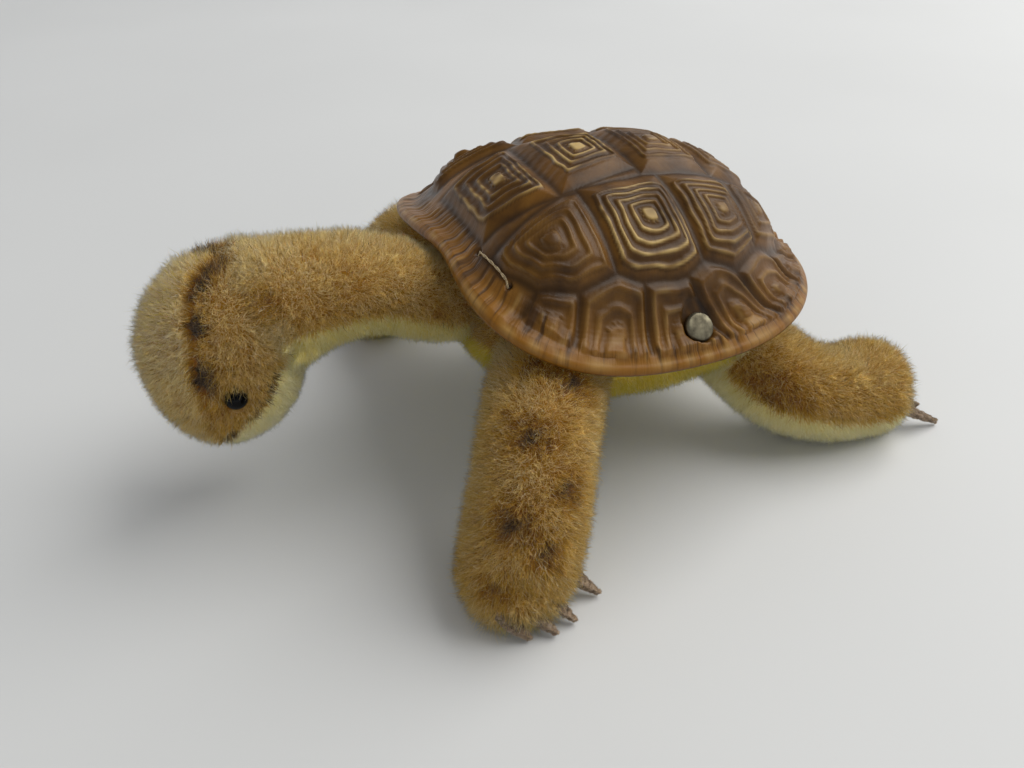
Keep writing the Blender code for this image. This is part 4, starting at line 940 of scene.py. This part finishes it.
places = [top.reshape(-1, 3)]
marks = [np.stack([rubbed, painted_shade_and_dirt, thin_rubber_glow, creased], -1).reshape(-1, 4)]
for turn in np.linspace(70, -90, LIP_ROWS):
    arc = math.radians(turn)
    reach = rim - LIP_RADIUS + LIP_RADIUS * math.cos(arc)
    up = rim_up - LIP_RADIUS + LIP_RADIUS * math.sin(arc)
    places.append(round_the_rim(reach, up))
    streaks = np.clip(0.25 + 0.35 * np.sin(angles * 41 + 3 * np.sin(angles * 9)), 0, 1)
    worn = streaks * max(0, math.sin(arc) + 0.2) * 0.5
    # Painted shade on the lip's lower, down-facing half
    lip_underside_shade = np.full(COLUMNS, 0.05 if turn > -30 else 0.45)
    marks.append(np.stack([worn, lip_underside_shade, np.full(COLUMNS, 1.0), np.full(COLUMNS, 0.5)], -1))
for under_share in UNDER_SHARES:
    reach = (rim - WALL) * under_share
    up = rim_up + (TOP_HEIGHT - rim_up) * dome_share(np.full(COLUMNS, under_share)) - WALL
    places.append(round_the_rim(reach, up))
    # The underside: painted shade, with a little of the thin rubber's painted glow
    marks.append(np.tile([0.0, 0.35, 0.25, 0.1], (COLUMNS, 1)))
places = np.concatenate(places)
marks = np.concatenate(marks)
rows = len(places) // COLUMNS
grid = np.arange(rows * COLUMNS).reshape(rows, COLUMNS)
following = np.roll(grid, -1, axis=1)
quads = np.stack([grid[:-1], grid[1:], following[1:], following[:-1]], -1).reshape(-1, 4)
triangles = np.concatenate([quads[:, [0, 1, 2]], quads[:, [0, 2, 3]]])
peak, floor_point = len(places), len(places) + 1
places = np.concatenate([places, [top[0].mean(0), places[-COLUMNS:].mean(0)]])
marks = np.concatenate([marks, marks[:1], marks[-1:]])
caps = np.concatenate([
    np.stack([np.full(COLUMNS, peak), grid[0], following[0]], -1),
    np.stack([np.full(COLUMNS, floor_point), following[-1], grid[-1]], -1),
])
triangles = np.concatenate([triangles, caps])
places[:, 1] += SHELL_SHIFT

# The map: the top and the lip as one disc, the underside as a smaller one, each with its middle and radius
TOP_DISC, UNDER_DISC = (0.33, 0.32), (0.83, 0.15)
TOP_PART, LIP_START, LIP_PART = 0.92, 0.925, 0.075
along = np.concatenate([shares * TOP_PART, LIP_START + np.linspace(0, LIP_PART, LIP_ROWS)])
disc = np.concatenate([along * TOP_DISC[1], UNDER_SHARES * UNDER_DISC[1]])[:, None]
middle = np.repeat([TOP_DISC[0], UNDER_DISC[0]], [TOP_ROWS + LIP_ROWS, UNDER_ROWS])[:, None]
at = np.stack([middle + disc * np.cos(angles), middle + disc * np.sin(angles)], -1).reshape(-1, 2)
at = np.concatenate([at, [[TOP_DISC[0]] * 2, [UNDER_DISC[0]] * 2]])

shell = add_object("moulded_shell", bpy.data.meshes.new("moulded_shell"))
rebuild(shell, places, triangles, at)
layer = shell.data.color_attributes.new(name="marks", type="FLOAT_COLOR", domain="POINT")
layer.data.foreach_set("color", marks.astype(np.float32).ravel())
select_only(shell)
bpy.ops.object.shade_smooth()

rubber, look, shader = new_material("brown_shell_rubber", 0.36)
read = look.add("Attribute")
read.attribute_name = "marks"
apart = look.add("SeparateColor", Color=read.outputs["Color"])
here = look.add("TexCoord").outputs["Object"]

# Creases that run out to the rim: noise on a circle of directions, so it is stretched along the radius
from_middle = look.operate("VectorMath", "SUBTRACT", here, (0, SHELL_SHIFT, 0))
level_way = look.operate("VectorMath", "MULTIPLY", from_middle, (1, 1, 0))
outward = look.operate("VectorMath", "NORMALIZE", level_way)
around = look.operate("VectorMath", "MULTIPLY", outward, (30, 30, 0))
nearby = look.operate("VectorMath", "MULTIPLY", from_middle, (70, 70, 70))
creases = look.noise(look.operate("VectorMath", "ADD", around, nearby), 1.0, 3, distortion=0.5)
crease = look.operate("Math", "MULTIPLY", creases, read.outputs["Alpha"])
# Painted shade in the creases' troughs
crease_trough_shade = look.range(creases, From_Min=0.50, From_Max=0.36)
crease_trough_shade = look.operate("Math", "MULTIPLY", crease_trough_shade, read.outputs["Alpha"])

mottle = look.noise(here, 240, 6)
colour = look.ramp(mottle, [(0.32, (64, 40, 10)), (0.50, (82, 53, 14)), (0.70, (98, 66, 20))])
# Over the mottled brown: the painted glow through thin rubber, rubbed cream, painted shade, and crease shade
for factor, second in (
    (apart.outputs["Blue"], (124, 82, 24)), (apart.outputs["Red"], (178, 150, 94)),
    (apart.outputs["Green"], (30, 18, 7)), (look.operate("Math", "MULTIPLY", crease_trough_shade, 0.75), (44, 26, 10)),
):
    colour = look.mix(factor, colour, linear(second))
fine = look.noise(here, 1500, 3)
bumps = look.operate(
    "Math", "ADD", look.operate("Math", "MULTIPLY", fine, 0.10), look.operate("Math", "MULTIPLY", crease, 1.6)
)
look.set(
    shader, Base_Color=colour, Roughness=look.range(fine, To_Min=0.30, To_Max=0.46), Specular_IOR_Level=0.16,
    Normal=look.bump(bumps, strength=0.6, distance=0.00035),
)
shell.data.materials.append(rubber)
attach(shell, "root")
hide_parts("carapace")


# ---- Button ----
# A small domed metal button, riveted through the shell's left rim. It is plain and dull, with speckled
# tarnish.

metal, look, shader, tarnish = speckled_material(
    "tarnished_metal", 0.42, 1.0, 700, 5, [(0.30, (70, 66, 54)), (0.50, (104, 98, 82)), (0.72, (136, 130, 108))]
)
look.set(
    shader, Roughness=look.range(tarnish, To_Min=0.58, To_Max=0.32),
    Normal=look.bump(tarnish, strength=0.3, distance=0.0001),
)

# The part of the crown's height that is left
CROWN_SHARE = 0.30
EDGE_WIDTH = 0.00016
button = joined_copy("rivet_button", ["button_cap"])
cap_places = read_vectors(button.data.vertices, "co", 3)
cap_middle = cap_places.mean(axis=0)
facing = np.linalg.svd(cap_places - cap_middle)[2][2]
facing *= np.sign(facing[2])
above = (cap_places - cap_middle) @ facing
level = np.sort(above)[len(above) // 2]
flatter = np.where(above > level, level + (above - level) * CROWN_SHARE, above)
cap_places += facing * (flatter - above)[:, None]
button.data.vertices.foreach_set("co", cap_places.ravel())
button.data.update()
edge = button.modifiers.new("soft_edge", "BEVEL")
edge.width = EDGE_WIDTH
edge.segments = 3
edge.limit_method = "ANGLE"
edge.angle_limit = math.radians(24)
apply_all(button)
bpy.ops.object.shade_smooth_by_angle(angle=math.radians(22))
button.data.materials.append(metal)
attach(button, "root")
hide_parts("button_cap")
nodes["button_rivet"].material_slots[0].material = metal


# ---- Shell stitch ----
# A doubled pale linen thread at the front left corner goes down through two small holes and holds the shell
# to the plush. Its two strands lie side by side and almost straight.

linen, look, shader, _ = speckled_material(
    "waxed_linen_thread", 0.7, 0.0, 2400, 3, [(0.3, (112, 92, 60)), (0.7, (176, 156, 118))]
)
look.set(shader, Sheen_Weight=0.2)

THREAD_RADIUS = 0.00012
THREAD_TWISTS, THREAD_STEPS = 2.5, 40
THREAD_RISE, THREAD_DIP = 0.00030, 0.0024
(x1, y1), (x2, y2) = holes
curve = bpy.data.curves.new("stitch_path", "CURVE")
curve.dimensions = "3D"
curve.bevel_depth = THREAD_RADIUS
curve.bevel_resolution = 3
curve.use_fill_caps = True
for strand in range(2):
    spline = curve.splines.new("POLY")
    spline.points.add(THREAD_STEPS)
    for i in range(THREAD_STEPS + 1):
        t = i / THREAD_STEPS
        px, py = x1 + (x2 - x1) * t, y1 + (y2 - y1) * t
        rise = THREAD_RISE * min(1, math.sin(math.pi * t) * 4) - THREAD_DIP * max(0, 1 - min(t, 1 - t) * 16)
        turn = t * THREAD_TWISTS * 2 * math.pi + strand * math.pi
        height = float(dome(np.array(px), np.array(py))) + rise
        point = Vector((px, py + SHELL_SHIFT, height))
        point += Vector((0, math.cos(turn), math.sin(turn))) * THREAD_RADIUS * 1.02
        spline.points[i].co = (*point, 1)
thread = add_object("shell_thread", curve)
select_only(thread)
bpy.ops.object.convert(target="MESH")
thread = bpy.context.object
bpy.ops.object.shade_smooth()
thread.data.materials.clear()
thread.data.materials.append(linen)
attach(thread, "root")
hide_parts("shell_stitch")


# ---- Floor, light and camera ----
# A plain pale table, soft light from overhead at the rear in a bright room, and the photograph's camera.

FLOOR_SIDE = 6
ROOM_COLOUR = (228, 230, 232)
HORIZON_STRENGTH, CEILING_STRENGTH, CEILING_START = 1.70, 0.44, 0.50
WINDOW_PLACE, WINDOW_AIM, WINDOW_SIZE = (0.00, 0.92, 1.18), (0, 0, 0.02), (1.5, 1.3)
WINDOW_POWER, WINDOW_COLOUR = 26.5, (1.0, 0.985, 0.955)
CAMERA_PLACE, CAMERA_AIM = (0.11907, -0.05632, 0.10427), (0.008, -0.01144, 0.014)
CAMERA_LENS, SENSOR_WIDTH = 27.04, 36

bpy.ops.mesh.primitive_plane_add(size=FLOOR_SIDE, location=(0, 0, 0))
floor = bpy.context.object
floor.name = "pale_table"
table = speckled_material("pale_table_top", 0.55, 0.0, 6, 2, [(0.3, (194, 195, 195)), (0.7, (198, 199, 199))])[0]
floor.data.materials.append(table)

world = bpy.data.worlds.new("soft_room")
bpy.context.scene.world = world
world.use_nodes = True
look = Look(world.node_tree)
apart = look.add("SeparateXYZ", Vector=look.add("TexCoord").outputs["Generated"])
walls = look.range(
    apart.outputs["Z"], From_Min=0.0, From_Max=CEILING_START, To_Min=HORIZON_STRENGTH, To_Max=CEILING_STRENGTH
)
look.set(look.nodes["Background"], Color=linear(ROOM_COLOUR), Strength=walls)


def face(thing, place, aim):
    thing.location = place
    thing.rotation_euler = (Vector(aim) - Vector(place)).to_track_quat("-Z", "Y").to_euler()


lamp = bpy.data.lights.new("window", "AREA")
lamp.shape = "RECTANGLE"
lamp.size, lamp.size_y = WINDOW_SIZE
lamp.energy = WINDOW_POWER
lamp.color = WINDOW_COLOUR
face(add_object("window", lamp), WINDOW_PLACE, WINDOW_AIM)

scene = bpy.context.scene
camera = add_object("camera", bpy.data.cameras.new("camera"))
camera.data.lens = CAMERA_LENS
camera.data.sensor_width = SENSOR_WIDTH
camera.data.clip_start = 0.001
face(camera, CAMERA_PLACE, CAMERA_AIM)
scene.camera = camera
scene.view_settings.view_transform = "Standard"
